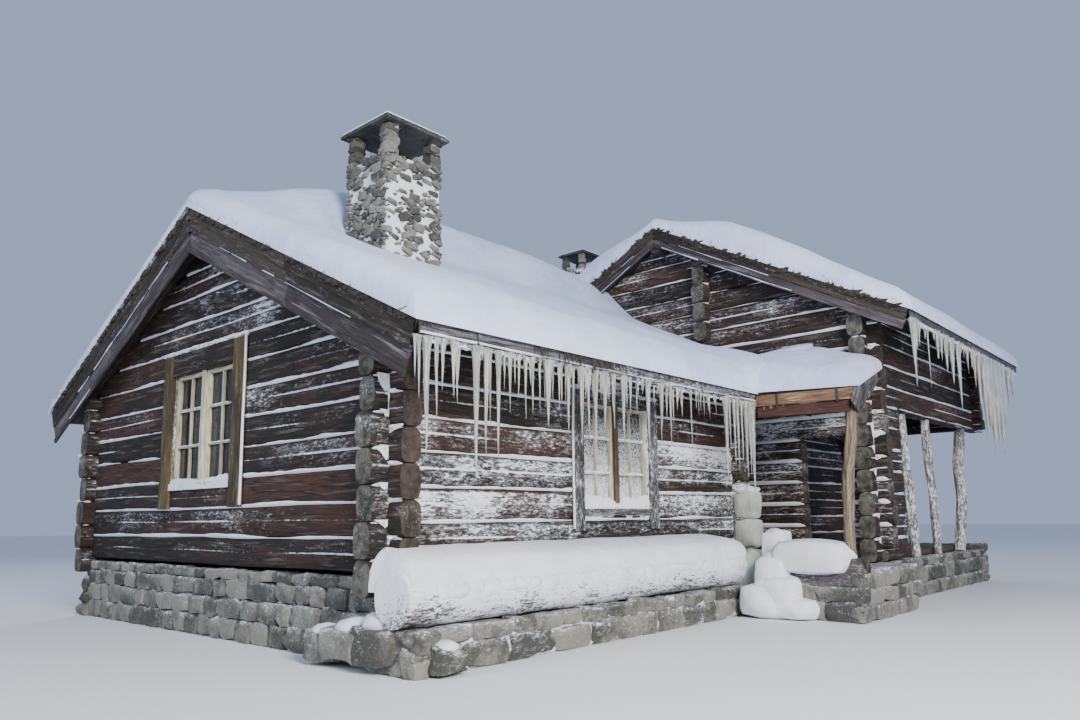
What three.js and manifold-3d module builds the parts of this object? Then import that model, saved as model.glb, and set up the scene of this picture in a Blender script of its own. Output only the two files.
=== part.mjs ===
// Log chalet of two joined wings under deep snow.
// The low front wing has a window gable towards -X and a long eave wall towards -Y.
// A taller rear wing stands beyond it, with an open gallery along its -Y side,
// and a small porch roof covers the way in between the two.
// Millimetres, +Z up. While it is drawn, the front wing's near corner is at X = 0, Y = 0,
// and Z = 0 is the top of the long wall's sill log. The whole group is then set down with
// its origin at the middle of its base.

import * as THREE from 'three';
import { mergeVertices } from 'three/addons/utils/BufferGeometryUtils.js';
import Module from 'manifold-3d';

const wasm = await Module();
wasm.setup();

// Driving dimensions
const GAP = 0.3;                 // clearance between pieces that touch
const COURSE = 280;              // height of one log course
const LOG = 190;                 // thickness of a log wall
const STUB = 145;                // length of a log end past the corner
const GROOVE = 30;               // depth of the groove between two courses
const LONG_COURSES = 0;          // course line of the walls that run along X
const GABLE_COURSES = 160;       // course line of the walls that run along Y
const GROUND = -800;             // lowest point where the house meets the ground
const SILL = -280;               // underside of the long walls, top of the foundation
const GABLE_SILL = -120;         // underside of the gable walls
const FLOOR = -200;              // top of the board floors
const ROOF = 150;                // boards and turf, measured upright

const FRONT = {
  x0: 0, x1: 5530, y0: 0, y1: 5900, ridgeY: 2950, ridgeZ: 3485, slope: 0.495, eave: 634,
};
const REAR = {
  x0: 6400, x1: 11200, y0: -1400, y1: 4500, ridgeY: 1550, ridgeZ: 4600, slope: 0.53, eave: 600,
};
const VERGE = 293;               // roof past the gable wall
const VERGE_BOARD = 50;          // thickness of the verge boards
const EAVE_BOARD = 35;
const FRONT_VERGE_DEPTH = 470;
const REAR_VERGE_DEPTH = 280;
const RIDGE_LOG = 220;           // diameter of the ridge logs

const BODY_WALL_Y = 810;         // rear wing's log wall behind the gallery
const GALLERY_HEAD = 1660;       // underside of the gallery's log front
const RETURN_WALL_X = 7400;      // end of the short closed stretch of the gallery
const GALLERY_LOG_END = 400;     // the gallery's logs run on past the far gable
const LONG_ENDS_BELOW = 2500;    // but not the ones that meet its verge boards

// The big chimney stands on the slope towards -Y, close to the ridge.
const CHIMNEY = {
  x0: 1170, x1: 1925, y0: 1595, y1: 2315, shoulder: 4180, top: 4505, flue: 350, pier: 185,
};
const CHIMNEY_CAP = { over: 62, thick: 97 };
const REAR_CHIMNEY = {
  x0: 6930, x1: 7420, y0: 3560, y1: 4030, shoulder: 4640, top: 4880, flue: 230, pier: 130,
};
const REAR_CAP = { over: 50, thick: 80 };

// The porch roof climbs and narrows towards the rear wing.
const PORCH = {
  x0: 4780, x1: 6250, y0: -1800, y1: -635, roofIn: 1700, roofOut: 1650, climb: 0.27,
  narrowing: 0.16, thick: 50, floor: -285,
};
const BASE_LOG = { x0: -200, x1: 4740, y: -325, z: -275, radius: 205 };

const BEYOND = 900;              // what cuts or trims a solid reaches this far past it
const SKY = 9000;                // higher than every roof

// Solids and meshes
function toSolid(geometry) {
  const bare = geometry.clone();
  bare.deleteAttribute('normal');
  bare.deleteAttribute('uv');
  const merged = mergeVertices(bare, 0.001);
  return new wasm.Manifold(new wasm.Mesh({
    numProp: 3,
    vertProperties: new Float32Array(merged.attributes.position.array),
    triVerts: new Uint32Array(merged.index.array),
  }));
}

function toGeometry(solid) {
  const mesh = solid.getMesh();
  const geometry = new THREE.BufferGeometry();
  geometry.setAttribute('position', new THREE.BufferAttribute(mesh.vertProperties, 3));
  geometry.setIndex(new THREE.BufferAttribute(mesh.triVerts, 1));
  geometry.computeVertexNormals();
  return geometry;
}

function join(first, ...others) {
  return others.reduce((sum, solid) => sum.add(solid), first);
}

function cut(first, ...others) {
  return others.reduce((rest, solid) => rest.subtract(solid), first);
}

function box(x0, x1, y0, y1, z0, z1) {
  const geometry = new THREE.BoxGeometry(x1 - x0, y1 - y0, z1 - z0);
  geometry.translate((x0 + x1) / 2, (y0 + y1) / 2, (z0 + z1) / 2);
  return toSolid(geometry);
}

function outline(points, holes = []) {
  const shape = new THREE.Shape(points.map(([a, b]) => new THREE.Vector2(a, b)));
  shape.holes = holes.map((hole) => new THREE.Path(hole.map(([a, b]) => new THREE.Vector2(a, b))));
  return shape;
}

// An outline given as [y, z], drawn out from x0 to x1
function alongX(points, x0, x1, holes) {
  const settings = { depth: x1 - x0, bevelEnabled: false };
  const geometry = new THREE.ExtrudeGeometry(outline(points, holes), settings);
  const turn = new THREE.Matrix4().makeBasis(
    new THREE.Vector3(0, 1, 0), new THREE.Vector3(0, 0, 1), new THREE.Vector3(1, 0, 0));
  geometry.applyMatrix4(turn);
  geometry.translate(x0, 0, 0);
  return toSolid(geometry);
}

// An outline given as [x, z], drawn out from y0 to y1
function alongY(points, y0, y1, holes) {
  const settings = { depth: y1 - y0, bevelEnabled: false };
  const geometry = new THREE.ExtrudeGeometry(outline(points, holes), settings);
  const turn = new THREE.Matrix4().makeBasis(
    new THREE.Vector3(1, 0, 0), new THREE.Vector3(0, 0, 1), new THREE.Vector3(0, -1, 0));
  geometry.applyMatrix4(turn);
  geometry.translate(0, y1, 0);
  return toSolid(geometry);
}

function circle(cx, cz, radius, sides, phase = 0) {
  return Array.from({ length: sides }, (_, i) => {
    const angle = phase + (2 * Math.PI * i) / sides;
    return [cx + radius * Math.cos(angle), cz + radius * Math.sin(angle)];
  });
}

function rectangle(a0, a1, b0, b1) {
  return [[a0, b0], [a1, b0], [a1, b1], [a0, b1]];
}

// A rough round timber through a few points
function timber(points, radius, sides = 8) {
  const curve = new THREE.CatmullRomCurve3(points.map((point) => new THREE.Vector3(...point)));
  const section = outline(circle(0, 0, radius, sides, Math.PI / sides));
  const steps = (points.length - 1) * 3;
  return toSolid(new THREE.ExtrudeGeometry(section, { extrudePath: curve, steps, bevelEnabled: false }));
}

// Roof planes
function roofTop(wing, y) {
  return wing.ridgeZ - wing.slope * Math.abs(y - wing.ridgeY);
}

function underRoof(wing) {
  const low = wing.y0 - 2 * wing.eave;
  const high = wing.y1 + 2 * wing.eave;
  const under = (y) => roofTop(wing, y) - ROOF - GAP;
  const points = [[low, 2 * GROUND], [high, 2 * GROUND], [high, under(high)],
    [wing.ridgeY, under(wing.ridgeY)], [low, under(low)]];
  return alongX(points, wing.x0 - BEYOND, wing.x1 + BEYOND);
}

const underFrontRoof = underRoof({ ...FRONT, x1: REAR.x0 });
const underRearRoof = underRoof(REAR);

// Log walls
// The outline of a stack of hewn logs: flat faces with a groove at each course line.
function logStack(t0, t1, z0, z1, courseLine) {
  const shoulder = 55;
  const side = [];
  const firstLine = courseLine + Math.floor((z0 - courseLine) / COURSE) * COURSE;
  for (let line = firstLine; line < z1 + COURSE; line += COURSE) {
    side.push([GROOVE, line], [0, line + shoulder], [0, line + COURSE - shoulder]);
  }
  const inside = side.filter(([, z]) => z > z0 + 1 && z < z1 - 1);
  const outer = [[0, z0], ...inside, [0, z1]];
  const face = outer.map(([inset, z]) => [t0 + inset, z]);
  const back = outer.map(([inset, z]) => [t1 - inset, z]).reverse();
  return [...back.reverse(), ...face.reverse()];
}

// Heights in a corner where the crossing wall's logs pass through, so this wall is notched
function notchZones(ownLine, z0, z1, crossingFloor) {
  const ownIsLong = ownLine === LONG_COURSES;
  const low = ownIsLong ? -60 : 80;
  const high = ownIsLong ? 80 : 220;
  const zones = [];
  for (let step = -3; step < 20; step += 1) {
    const bottom = low + step * COURSE - GAP / 2;
    const top = high + step * COURSE + GAP / 2;
    if (top > z0 && bottom < z1 && top > crossingFloor) zones.push([bottom, top]);
  }
  return zones;
}

// One log wall with its corner notches.
// run: 'x' or 'y'; from, to: outer faces of its ends; t0, t1: its thickness across;
// crossings: [low, high, floor] of the walls that it is notched with.
function logWall({ run, from, to, t0, t1, z0, z1, under, crossings, removed = [] }) {
  const line = run === 'x' ? LONG_COURSES : GABLE_COURSES;
  const section = logStack(t0, t1, z0, z1, line);
  let wall = run === 'x' ? alongX(section, from, to) : alongY(section, from, to);
  wall = wall.intersect(under);
  for (const [low, high, floor] of crossings) {
    for (const [bottom, top] of notchZones(line, z0, z1, floor)) {
      const along = [low - GAP, high + GAP];
      const across = [t0 - 50, t1 + 50];
      const plan = run === 'x' ? [...along, ...across] : [...across, ...along];
      wall = wall.subtract(box(...plan, bottom, top));
    }
  }
  return cut(wall, ...removed);
}

// Windows: sizes of the clear opening between the casing boards
const GABLE_WINDOW = { a0: 2400, a1: 3670, z0: 690, z1: 1840, board: 225, head: 250, foot: 260 };
const FRONT_WINDOW = { a0: 2360, a1: 3490, z0: 380, z1: 1440, board: 160, head: 130, foot: 210 };
const BACK_WINDOW = { ...FRONT_WINDOW, a0: 2200, a1: 3330, z0: 480, z1: 1440 };
const EAST_WINDOW = { ...GABLE_WINDOW, a0: 2000, a1: 3270 };
const LINING = 40;
const CASING = 40;
const SASH = 45;
const STILE = 55;
const GLASS = 6;

function windowHole(size, run, t0, t1) {
  const a = [size.a0 - LINING - GAP, size.a1 + LINING + GAP, t0 - 100, t1 + 100];
  const z = [size.z0 - LINING - GAP, size.z1 + LINING + GAP];
  return run === 'x' ? box(a[0], a[1], a[2], a[3], ...z) : box(a[2], a[3], a[0], a[1], ...z);
}

// Casing boards on the face, with a lining through the wall; out is -1 where the face looks to low values
function windowCasing(size, run, face, out) {
  const draw = run === 'x' ? alongY : alongX;
  const { a0, a1, z0, z1, board, head, foot } = size;
  const boards = [[a0 - board, z0 - foot], [a0, z0 - foot], [a0, z0 - 70], [a1, z0 - 70], [a1, z0 - foot],
    [a1 + board, z0 - foot], [a1 + board, z1 + head], [a0 - board, z1 + head]];
  const lights = [rectangle(a0, a1, z0, z1)];
  const span = (near, far) => (out < 0 ? [face - far, face - near] : [face + near, face + far]);
  const front = draw(boards, ...span(GAP, CASING), lights);
  const around = rectangle(a0 - LINING, a1 + LINING, z0 - LINING, z1 + LINING);
  return front.add(draw(around, ...span(-LOG, CASING / 2), lights));
}

function windowSash(size, run, face, out) {
  const draw = run === 'x' ? alongY : alongX;
  const a0 = size.a0 + GAP;
  const a1 = size.a1 - GAP;
  const z0 = size.z0 + GAP;
  const z1 = size.z1 - GAP;
  const middle = (a0 + a1) / 2;
  const lights = [rectangle(a0 + STILE, middle - STILE, z0 + STILE, z1 - STILE),
    rectangle(middle + STILE, a1 - STILE, z0 + STILE, z1 - STILE)];
  const depth = [15, 15 + SASH];
  const span = out < 0 ? [face + depth[0], face + depth[1]] : [face - depth[1], face - depth[0]];
  const openings = lights.map((light) => draw(light, span[0] - 10, span[1] + 10));
  return cut(draw(rectangle(a0, a1, z0, z1), ...span), ...openings);
}

function windowGlass(size, run, face, out) {
  const draw = run === 'x' ? alongY : alongX;
  const depth = [15 + SASH + GAP, 15 + SASH + GAP + GLASS];
  const span = out < 0 ? [face + depth[0], face + depth[1]] : [face - depth[1], face - depth[0]];
  return draw(rectangle(size.a0 + GAP, size.a1 - GAP, size.z0 + GAP, size.z1 - GAP), ...span);
}

// Front wing walls
const frontX = [FRONT.x0 - STUB, FRONT.x1 + STUB];
const frontY = [FRONT.y0 - STUB, FRONT.y1 + STUB];
const frontCorners = [[FRONT.x0, FRONT.x0 + LOG, GABLE_SILL], [FRONT.x1 - LOG, FRONT.x1, GABLE_SILL]];
const frontSides = [[FRONT.y0, FRONT.y0 + LOG, SILL], [FRONT.y1 - LOG, FRONT.y1, SILL]];

// The ridge log lies in the angle of the roof, touching both slopes
function ridgeCentre(wing) {
  const radius = RIDGE_LOG / 2;
  return wing.ridgeZ - ROOF - radius * Math.hypot(1, wing.slope) - 3 * GAP;
}

function ridgeLog(wing, x0, x1, spread = 0) {
  return alongX(circle(wing.ridgeY, ridgeCentre(wing), RIDGE_LOG / 2 + spread, 10, Math.PI / 10), x0, x1);
}

// Its seat in a gable wall is open at the top
function ridgeSeat(wing) {
  const half = 0.62 * RIDGE_LOG / 2;
  const mouth = box(wing.x0 - 900, wing.x1 + 900, wing.ridgeY - half, wing.ridgeY + half,
    ridgeCentre(wing), wing.ridgeZ);
  return ridgeLog(wing, wing.x0 - 900, wing.x1 + 900, GAP).add(mouth);
}

const frontRidgeHole = ridgeSeat(FRONT);
const rearRidgeHole = ridgeSeat(REAR);

const frontWall = logWall({
  run: 'x', from: frontX[0], to: frontX[1], t0: FRONT.y0, t1: FRONT.y0 + LOG, z0: SILL, z1: 2100,
  under: underFrontRoof, crossings: frontCorners,
  removed: [windowHole(FRONT_WINDOW, 'x', FRONT.y0, FRONT.y0 + LOG)],
});

const backWall = logWall({
  run: 'x', from: frontX[0], to: frontX[1], t0: FRONT.y1 - LOG, t1: FRONT.y1, z0: SILL, z1: 2100,
  under: underFrontRoof, crossings: frontCorners,
  removed: [windowHole(BACK_WINDOW, 'x', FRONT.y1 - LOG, FRONT.y1)],
});

const windowGableWall = logWall({
  run: 'y', from: frontY[0], to: frontY[1], t0: FRONT.x0, t1: FRONT.x0 + LOG, z0: GABLE_SILL, z1: 3600,
  under: underFrontRoof, crossings: frontSides,
  removed: [windowHole(GABLE_WINDOW, 'y', FRONT.x0, FRONT.x0 + LOG), frontRidgeHole],
});

const END_DOOR = { y0: 1200, y1: 2000, head: 1650 };
const endWall = logWall({
  run: 'y', from: frontY[0], to: frontY[1], t0: FRONT.x1 - LOG, t1: FRONT.x1, z0: GABLE_SILL, z1: 3600,
  under: underFrontRoof, crossings: frontSides,
  removed: [box(FRONT.x1 - 300, FRONT.x1 + 100, END_DOOR.y0, END_DOOR.y1, GABLE_SILL - 100, END_DOOR.head),
    frontRidgeHole],
});

// Rear wing walls
const rearX = [REAR.x0 - STUB, REAR.x1 + STUB];
const rearY = [REAR.y0 - STUB, REAR.y1 + STUB];
const gallerySide = [REAR.y0, REAR.y0 + LOG, SILL];
const BODY_NOTCHES_ABOVE = 2600;  // lower down, the body wall butts against the west gable
const bodySide = [BODY_WALL_Y, BODY_WALL_Y + LOG, BODY_NOTCHES_ABOVE];
const northSide = [REAR.y1 - LOG, REAR.y1, SILL];
const westCorner = [REAR.x0, REAR.x0 + LOG, GABLE_SILL];
const eastCorner = [REAR.x1 - LOG, REAR.x1, GABLE_SILL];
const LINK_DOOR = { y0: 2200, y1: 3000, head: 1650 };
const PORCH_DOOR = { y0: -1050, y1: -450, head: 1280 };
const BODY_DOOR = { x0: 8300, x1: 9100, head: 1650 };

function doorInWest(door) {
  return box(REAR.x0 - 100, REAR.x0 + 300, door.y0, door.y1, GABLE_SILL - 100, door.head);
}

const rearWestWall = logWall({
  run: 'y', from: rearY[0], to: rearY[1], t0: REAR.x0, t1: REAR.x0 + LOG, z0: GABLE_SILL, z1: 4500,
  under: underRearRoof, crossings: [gallerySide, bodySide],
  removed: [doorInWest(LINK_DOOR), doorInWest(PORCH_DOOR), rearRidgeHole],
});

const rearEastWall = logWall({
  run: 'y', from: rearY[0], to: rearY[1], t0: REAR.x1 - LOG, t1: REAR.x1, z0: GABLE_SILL, z1: 4500,
  under: underRearRoof, crossings: [gallerySide, bodySide, northSide],
  removed: [box(REAR.x1 - 300, REAR.x1 + 100, REAR.y0 - 400, BODY_WALL_Y - STUB, 2 * GROUND, GALLERY_HEAD),
    windowHole(EAST_WINDOW, 'y', REAR.x1 - LOG, REAR.x1), rearRidgeHole],
});

const rearNorthWall = logWall({
  run: 'x', from: REAR.x0 + LOG + GAP, to: rearX[1], t0: REAR.y1 - LOG, t1: REAR.y1, z0: SILL, z1: 3600,
  under: underRearRoof, crossings: [eastCorner],
});

// Its log ends show through the west gable only above the front wing's roof.
const STUBS_SHOW_ABOVE = 2860;
const notchedGables = [westCorner, eastCorner].map(([low, high]) => [low, high, BODY_NOTCHES_ABOVE]);
const rearBodyWall = logWall({
  run: 'x', from: rearX[0], to: rearX[1], t0: BODY_WALL_Y, t1: BODY_WALL_Y + LOG, z0: FLOOR + GAP, z1: 4400,
  under: underRearRoof, crossings: notchedGables,
  removed: [box(REAR.x0 - 500, REAR.x0, 0, 2000, 2 * GROUND, STUBS_SHOW_ABOVE),
    box(REAR.x0 - GAP, REAR.x0 + LOG + GAP, 0, 2000, 2 * GROUND, BODY_NOTCHES_ABOVE),
    box(REAR.x1 - LOG - GAP, REAR.x1 + BEYOND, 0, 2000, 2 * GROUND, BODY_NOTCHES_ABOVE),
    box(BODY_DOOR.x0, BODY_DOOR.x1, 0, 2000, 2 * GROUND, BODY_DOOR.head)],
});

const acrossGallery = [REAR.y0 - LOG, REAR.y0 + 2 * LOG];
const galleryWall = logWall({
  run: 'x', from: rearX[0], to: REAR.x1 + GALLERY_LOG_END, t0: REAR.y0, t1: REAR.y0 + LOG,
  z0: SILL, z1: 3400, under: underRearRoof,
  crossings: [westCorner, [...eastCorner.slice(0, 2), GALLERY_HEAD]],
  removed: [
    box(RETURN_WALL_X, REAR.x1 + BEYOND, ...acrossGallery, 2 * GROUND, GALLERY_HEAD),
    box(rearX[1], REAR.x1 + BEYOND, ...acrossGallery, LONG_ENDS_BELOW, REAR.ridgeZ)],
});

// Back wall of the covered way between the wings
const LINK_BACK_Y = 4110;
const linkBackLogs = logStack(LINK_BACK_Y, LINK_BACK_Y + LOG, PORCH.floor + GAP, 2900, LONG_COURSES);
const linkBackWall = alongX(linkBackLogs, FRONT.x1 + GAP, REAR.x0 - GAP).intersect(underFrontRoof);

// Foundations and floors
const FOOTING = 430;
const SET_BACK = 20;
const RISER = 150;

function footingRing(wing, risers) {
  const outer = [wing.x0 + SET_BACK, wing.x1 - SET_BACK, wing.y0 + SET_BACK, wing.y1 - SET_BACK];
  const inner = [outer[0] + FOOTING, outer[1] - FOOTING, outer[2] + FOOTING, outer[3] - FOOTING];
  const ring = cut(box(...outer, GROUND, SILL - GAP), box(...inner, GROUND - 10, SILL + 10));
  const stones = risers.map(([x, low, high]) => box(x, x + RISER, low, high, SILL - 50, GABLE_SILL - GAP));
  return join(ring, ...stones);
}

const LEDGE = { x0: -150, x1: 4700, y0: -520, z: -480 };
const frontRisers = [FRONT.x0 + SET_BACK, FRONT.x1 - SET_BACK - RISER]
  .map((x) => [x, FRONT.y0 + LOG + GAP, FRONT.y1 - LOG - GAP]);
const frontFoundation = join(footingRing(FRONT, frontRisers),
  box(LEDGE.x0, LEDGE.x1, LEDGE.y0, FRONT.y0 + SET_BACK + 50, GROUND, LEDGE.z));

const rearRisers = [[REAR.x0 + SET_BACK, REAR.y0 + LOG + GAP, BODY_WALL_Y - GAP],
  [REAR.x0 + SET_BACK, BODY_WALL_Y + LOG + GAP, REAR.y1 - LOG - GAP],
  [REAR.x1 - SET_BACK - RISER, BODY_WALL_Y + LOG + GAP, REAR.y1 - LOG - GAP]];
const rearFoundation = join(footingRing(REAR, rearRisers),
  box(REAR.x0 + SET_BACK, REAR.x1 - SET_BACK,
    BODY_WALL_Y - 110, BODY_WALL_Y + LOG + 110, GROUND, SILL - GAP));

function chimneyHole({ x0, x1, y0, y1 }) {
  return box(x0 - GAP, x1 + GAP, y0 - GAP, y1 + GAP, 2 * GROUND, SKY);
}

const frontFloor = cut(
  box(FRONT.x0 + LOG + GAP, FRONT.x1 - LOG - GAP, FRONT.y0 + LOG + GAP, FRONT.y1 - LOG - GAP, SILL, FLOOR),
  chimneyHole(CHIMNEY));
const rearFloor = cut(
  box(REAR.x0 + LOG + GAP, REAR.x1 - LOG - GAP, REAR.y0 + LOG + GAP, REAR.y1 - LOG - GAP, SILL, FLOOR),
  chimneyHole(REAR_CHIMNEY));

// Roofs
function roofSlab(wing, side, x0, x1, chimney) {
  const eave = side < 0 ? wing.y0 - wing.eave : wing.y1 + wing.eave;
  const ridge = wing.ridgeY + (side * GAP) / 2;
  const points = [[eave, roofTop(wing, eave) - ROOF], [ridge, roofTop(wing, ridge) - ROOF],
    [ridge, roofTop(wing, ridge)], [eave, roofTop(wing, eave)]];
  const slab = alongX(side < 0 ? points : points.reverse(), x0, x1);
  return chimney ? slab.subtract(chimneyHole(chimney)) : slab;
}

function vergeBoards(wing, x0, depth) {
  const low = wing.y0 - wing.eave;
  const high = wing.y1 + wing.eave;
  const cutBack = 0.8 * wing.slope * depth;
  const top = (y) => roofTop(wing, y) - GAP;
  const points = [[low, top(low)], [low + cutBack, top(low + cutBack) - depth],
    [wing.ridgeY, wing.ridgeZ - depth], [high - cutBack, top(high - cutBack) - depth],
    [high, top(high)], [wing.ridgeY, wing.ridgeZ - GAP]];
  return alongX(points, x0, x0 + VERGE_BOARD);
}

function eaveBoard(wing, x0, x1, z0, z1) {
  const y = wing.y0 - wing.eave;
  return box(x0, x1, y - EAVE_BOARD, y - GAP, z0, z1);
}

const frontRoofX = [FRONT.x0 - VERGE + VERGE_BOARD + GAP, REAR.x0 - GAP];
const rearRoofX = [REAR.x0 - VERGE + VERGE_BOARD + GAP, REAR.x1 + VERGE - VERGE_BOARD - GAP];

// Chimneys: rubble stack with a flue, four corner piers and a flat slab
function chimneyStack(chimney) {
  const { x0, x1, y0, y1, shoulder, top, flue, pier } = chimney;
  const cx = (x0 + x1) / 2;
  const cy = (y0 + y1) / 2;
  const throat = box(cx - flue / 2, cx + flue / 2, cy - flue / 2, cy + flue / 2, FLOOR + 900, top + 10);
  const hearth = box(cx - flue / 2, cx + flue / 2, y0 - 10, cy + flue / 2, FLOOR + 250, FLOOR + 950);
  const body = cut(box(x0, x1, y0, y1, GROUND, shoulder), throat, hearth);
  const piers = [[x0, y0], [x1 - pier, y0], [x0, y1 - pier], [x1 - pier, y1 - pier]]
    .map(([x, y]) => box(x, x + pier, y, y + pier, shoulder - 10, top));
  return join(body, ...piers);
}

function chimneyCap(chimney, cap) {
  return box(chimney.x0 - cap.over, chimney.x1 + cap.over, chimney.y0 - cap.over, chimney.y1 + cap.over,
    chimney.top + GAP, chimney.top + cap.thick);
}

// A sheet between two surfaces, given at the crossings of grid lines along X and Y.
// bend says where a line along X lies at each x.
function sheet(xs, ys, bottom, top, bend = (x, y) => y) {
  const nx = xs.length - 1;
  const ny = ys.length - 1;
  const geometry = new THREE.BoxGeometry(1, 1, 1, nx, ny, 1);
  const place = geometry.attributes.position;
  for (let i = 0; i < place.count; i += 1) {
    const x = xs[Math.round((place.getX(i) + 0.5) * nx)];
    const y = bend(x, ys[Math.round((place.getY(i) + 0.5) * ny)]);
    const z = place.getZ(i) > 0 ? top(x, y) : bottom(x, y);
    place.setXYZ(i, x, y, z);
  }
  return toSolid(geometry);
}

// 0 at the edge, 1 from the given reach inwards, along a quarter circle
function rounding(distance, reach) {
  const part = Math.min(Math.max(1 - distance / reach, 0), 1);
  return Math.sqrt(1 - part * part);
}

function between(value, low, high, from, to) {
  const part = Math.min(Math.max((value - low) / (high - low), 0), 1);
  return from + (to - from) * part * part * (3 - 2 * part);
}

// The top of the porch roof
function porchTop(x, y) {
  const across = (y - PORCH.y0) / (PORCH.y1 - PORCH.y0);
  const climb = PORCH.climb * (Math.max(x, PORCH.x0) - PORCH.x0);
  return PORCH.roofOut + (PORCH.roofIn - PORCH.roofOut) * across + climb;
}

// Snow: thin at its edges, heaped where the wind drops it
const SNOW_EDGE = 40;
const PORCH_COVER = 250;
const FRONT_SNOW_X = [-320, -290, -220, -80, 250, 600, 920, CHIMNEY.x0, CHIMNEY.x1, 2180, 2800,
  3600, 4300, 4700, 5100, 5700, REAR.x0 - GAP];
const FRONT_SNOW_Y = [-700, -680, -620, -500, -250, 200, 700, 1100, 1400, CHIMNEY.y0, CHIMNEY.y1,
  2550, 2750, 2950, 3350, 3850, 4500, 5200, 5800, 6200, 6420, 6530, 6580, 6600];
const REAR_SNOW_X = [6085, 6110, 6180, 6320, 6700, 7300, 8200, 9300, 10400, 11100, 11400, 11490, 11520];
const REAR_SNOW_Y = [-2060, -2040, -1980, -1850, -1500, -1000, -400, 300, 950, 1550, 2150, 2850,
  3600, 4300, 4750, 5000, 5110, 5150];

// The wind keeps a hollow open round the chimney
function windHollow(x, y) {
  const away = Math.hypot(Math.max(CHIMNEY.x0 - x, x - CHIMNEY.x1, 0),
    Math.max(CHIMNEY.y0 - y, y - CHIMNEY.y1, 0));
  return between(away, 0, 300, 90, 0);
}

function frontSnowTop(x, y) {
  const crest = between(x, -300, 1700, 235, 740) - between(x, 4300, 6400, 0, 90);
  const eave = 300;
  const windward = 265;
  const reach = Math.abs(y - FRONT.ridgeY);
  const thick = y < FRONT.ridgeY
    ? between(reach, 0, 900, crest, windward) + between(reach, 1200, 3300, 0, eave - windward)
    : between(reach, 0, 3300, crest, eave);
  const open = between(x, 4500, 5000, 1, 0);
  const eaveLip = 1 + (rounding(y - FRONT_SNOW_Y[0], 330) - 1) * open;
  const lip = Math.min(rounding(x - FRONT_SNOW_X[0], 260), eaveLip,
    rounding(FRONT_SNOW_Y.at(-1) - y, 330));
  const level = roofTop(FRONT, y) + SNOW_EDGE + (thick - SNOW_EDGE) * lip - windHollow(x, y);
  const besidePorch = y < FRONT.ridgeY ? 1 - open : 0;
  const porchCover = porchTop(x, Math.min(y, PORCH.y1)) + PORCH_COVER;
  return level + Math.max(porchCover - level, 0) * besidePorch;
}

const vergeUnderside = (y) => roofTop(REAR, y) - REAR_VERGE_DEPTH - 10;
const rearVergeSpace = alongX(
  [[REAR.y0 - BEYOND, SKY], [REAR.y0 - BEYOND, vergeUnderside(REAR.y0 - BEYOND)],
    [REAR.ridgeY, vergeUnderside(REAR.ridgeY)],
    [REAR.y1 + BEYOND, vergeUnderside(REAR.y1 + BEYOND)], [REAR.y1 + BEYOND, SKY]],
  REAR_SNOW_X[0] - GAP, REAR.x0 + BEYOND);
const porchRoofSpace = sheet([PORCH.x0, REAR.x0], [FRONT_SNOW_Y[0] - 10, PORCH.y1],
  () => 0, (x, y) => porchTop(x, y) + GAP);
const stubSpace = box(REAR.x0 - STUB - 20, REAR.x0,
  BODY_WALL_Y - 20, BODY_WALL_Y + LOG + 20, STUBS_SHOW_ABOVE - 20, SKY);
const frontRoofSnow = cut(
  sheet(FRONT_SNOW_X, FRONT_SNOW_Y, (x, y) => roofTop(FRONT, y) + GAP, frontSnowTop),
  chimneyHole(CHIMNEY), rearVergeSpace, porchRoofSpace, stubSpace);

function rearSnowTop(x, y) {
  const reach = Math.abs(y - REAR.ridgeY);
  const crest = between(x, 6100, 7600, 190, 420);
  const middle = between(reach, 0, 1300, crest, 470);
  const thick = between(reach, 1400, 3500, middle, 260);
  const lip = Math.min(rounding(x - REAR_SNOW_X[0], 200), rounding(REAR_SNOW_X.at(-1) - x, 260),
    rounding(y - REAR_SNOW_Y[0], 300), rounding(REAR_SNOW_Y.at(-1) - y, 300));
  return roofTop(REAR, y) + SNOW_EDGE + (thick - SNOW_EDGE) * lip;
}

const rearRoofSnow = sheet(REAR_SNOW_X, REAR_SNOW_Y, (x, y) => roofTop(REAR, y) + GAP, rearSnowTop)
  .subtract(chimneyHole(REAR_CHIMNEY));

// Porch
function porchBend(x, y) {
  const outward = (PORCH.y1 - y) / (PORCH.y1 - PORCH.y0);
  return y + PORCH.narrowing * (Math.max(x, PORCH.x0) - PORCH.x0) * Math.max(outward, 0);
}

const porchRoof = sheet([PORCH.x0 + GAP, PORCH.x1], [PORCH.y0, PORCH.y1 - GAP],
  (x, y) => porchTop(x, y) - PORCH.thick, porchTop, porchBend);
const fasciaEnd = FRONT.y0 - FRONT.eave - EAVE_BOARD - 5;
const fasciaOutline = [[PORCH.y0, 1515], [fasciaEnd, 1530], [fasciaEnd, 1670],
  [PORCH.y0, PORCH.roofOut - 4]];
const fasciaBoard = 25;
const porchFascia = join(
  alongX(fasciaOutline, PORCH.x0 - fasciaBoard, PORCH.x0),
  box(PORCH.x0 - 1, PORCH.x0 + fasciaBoard, PORCH.y0 + 60, fasciaEnd,
    1400, PORCH.roofOut - PORCH.thick - GAP));

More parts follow.
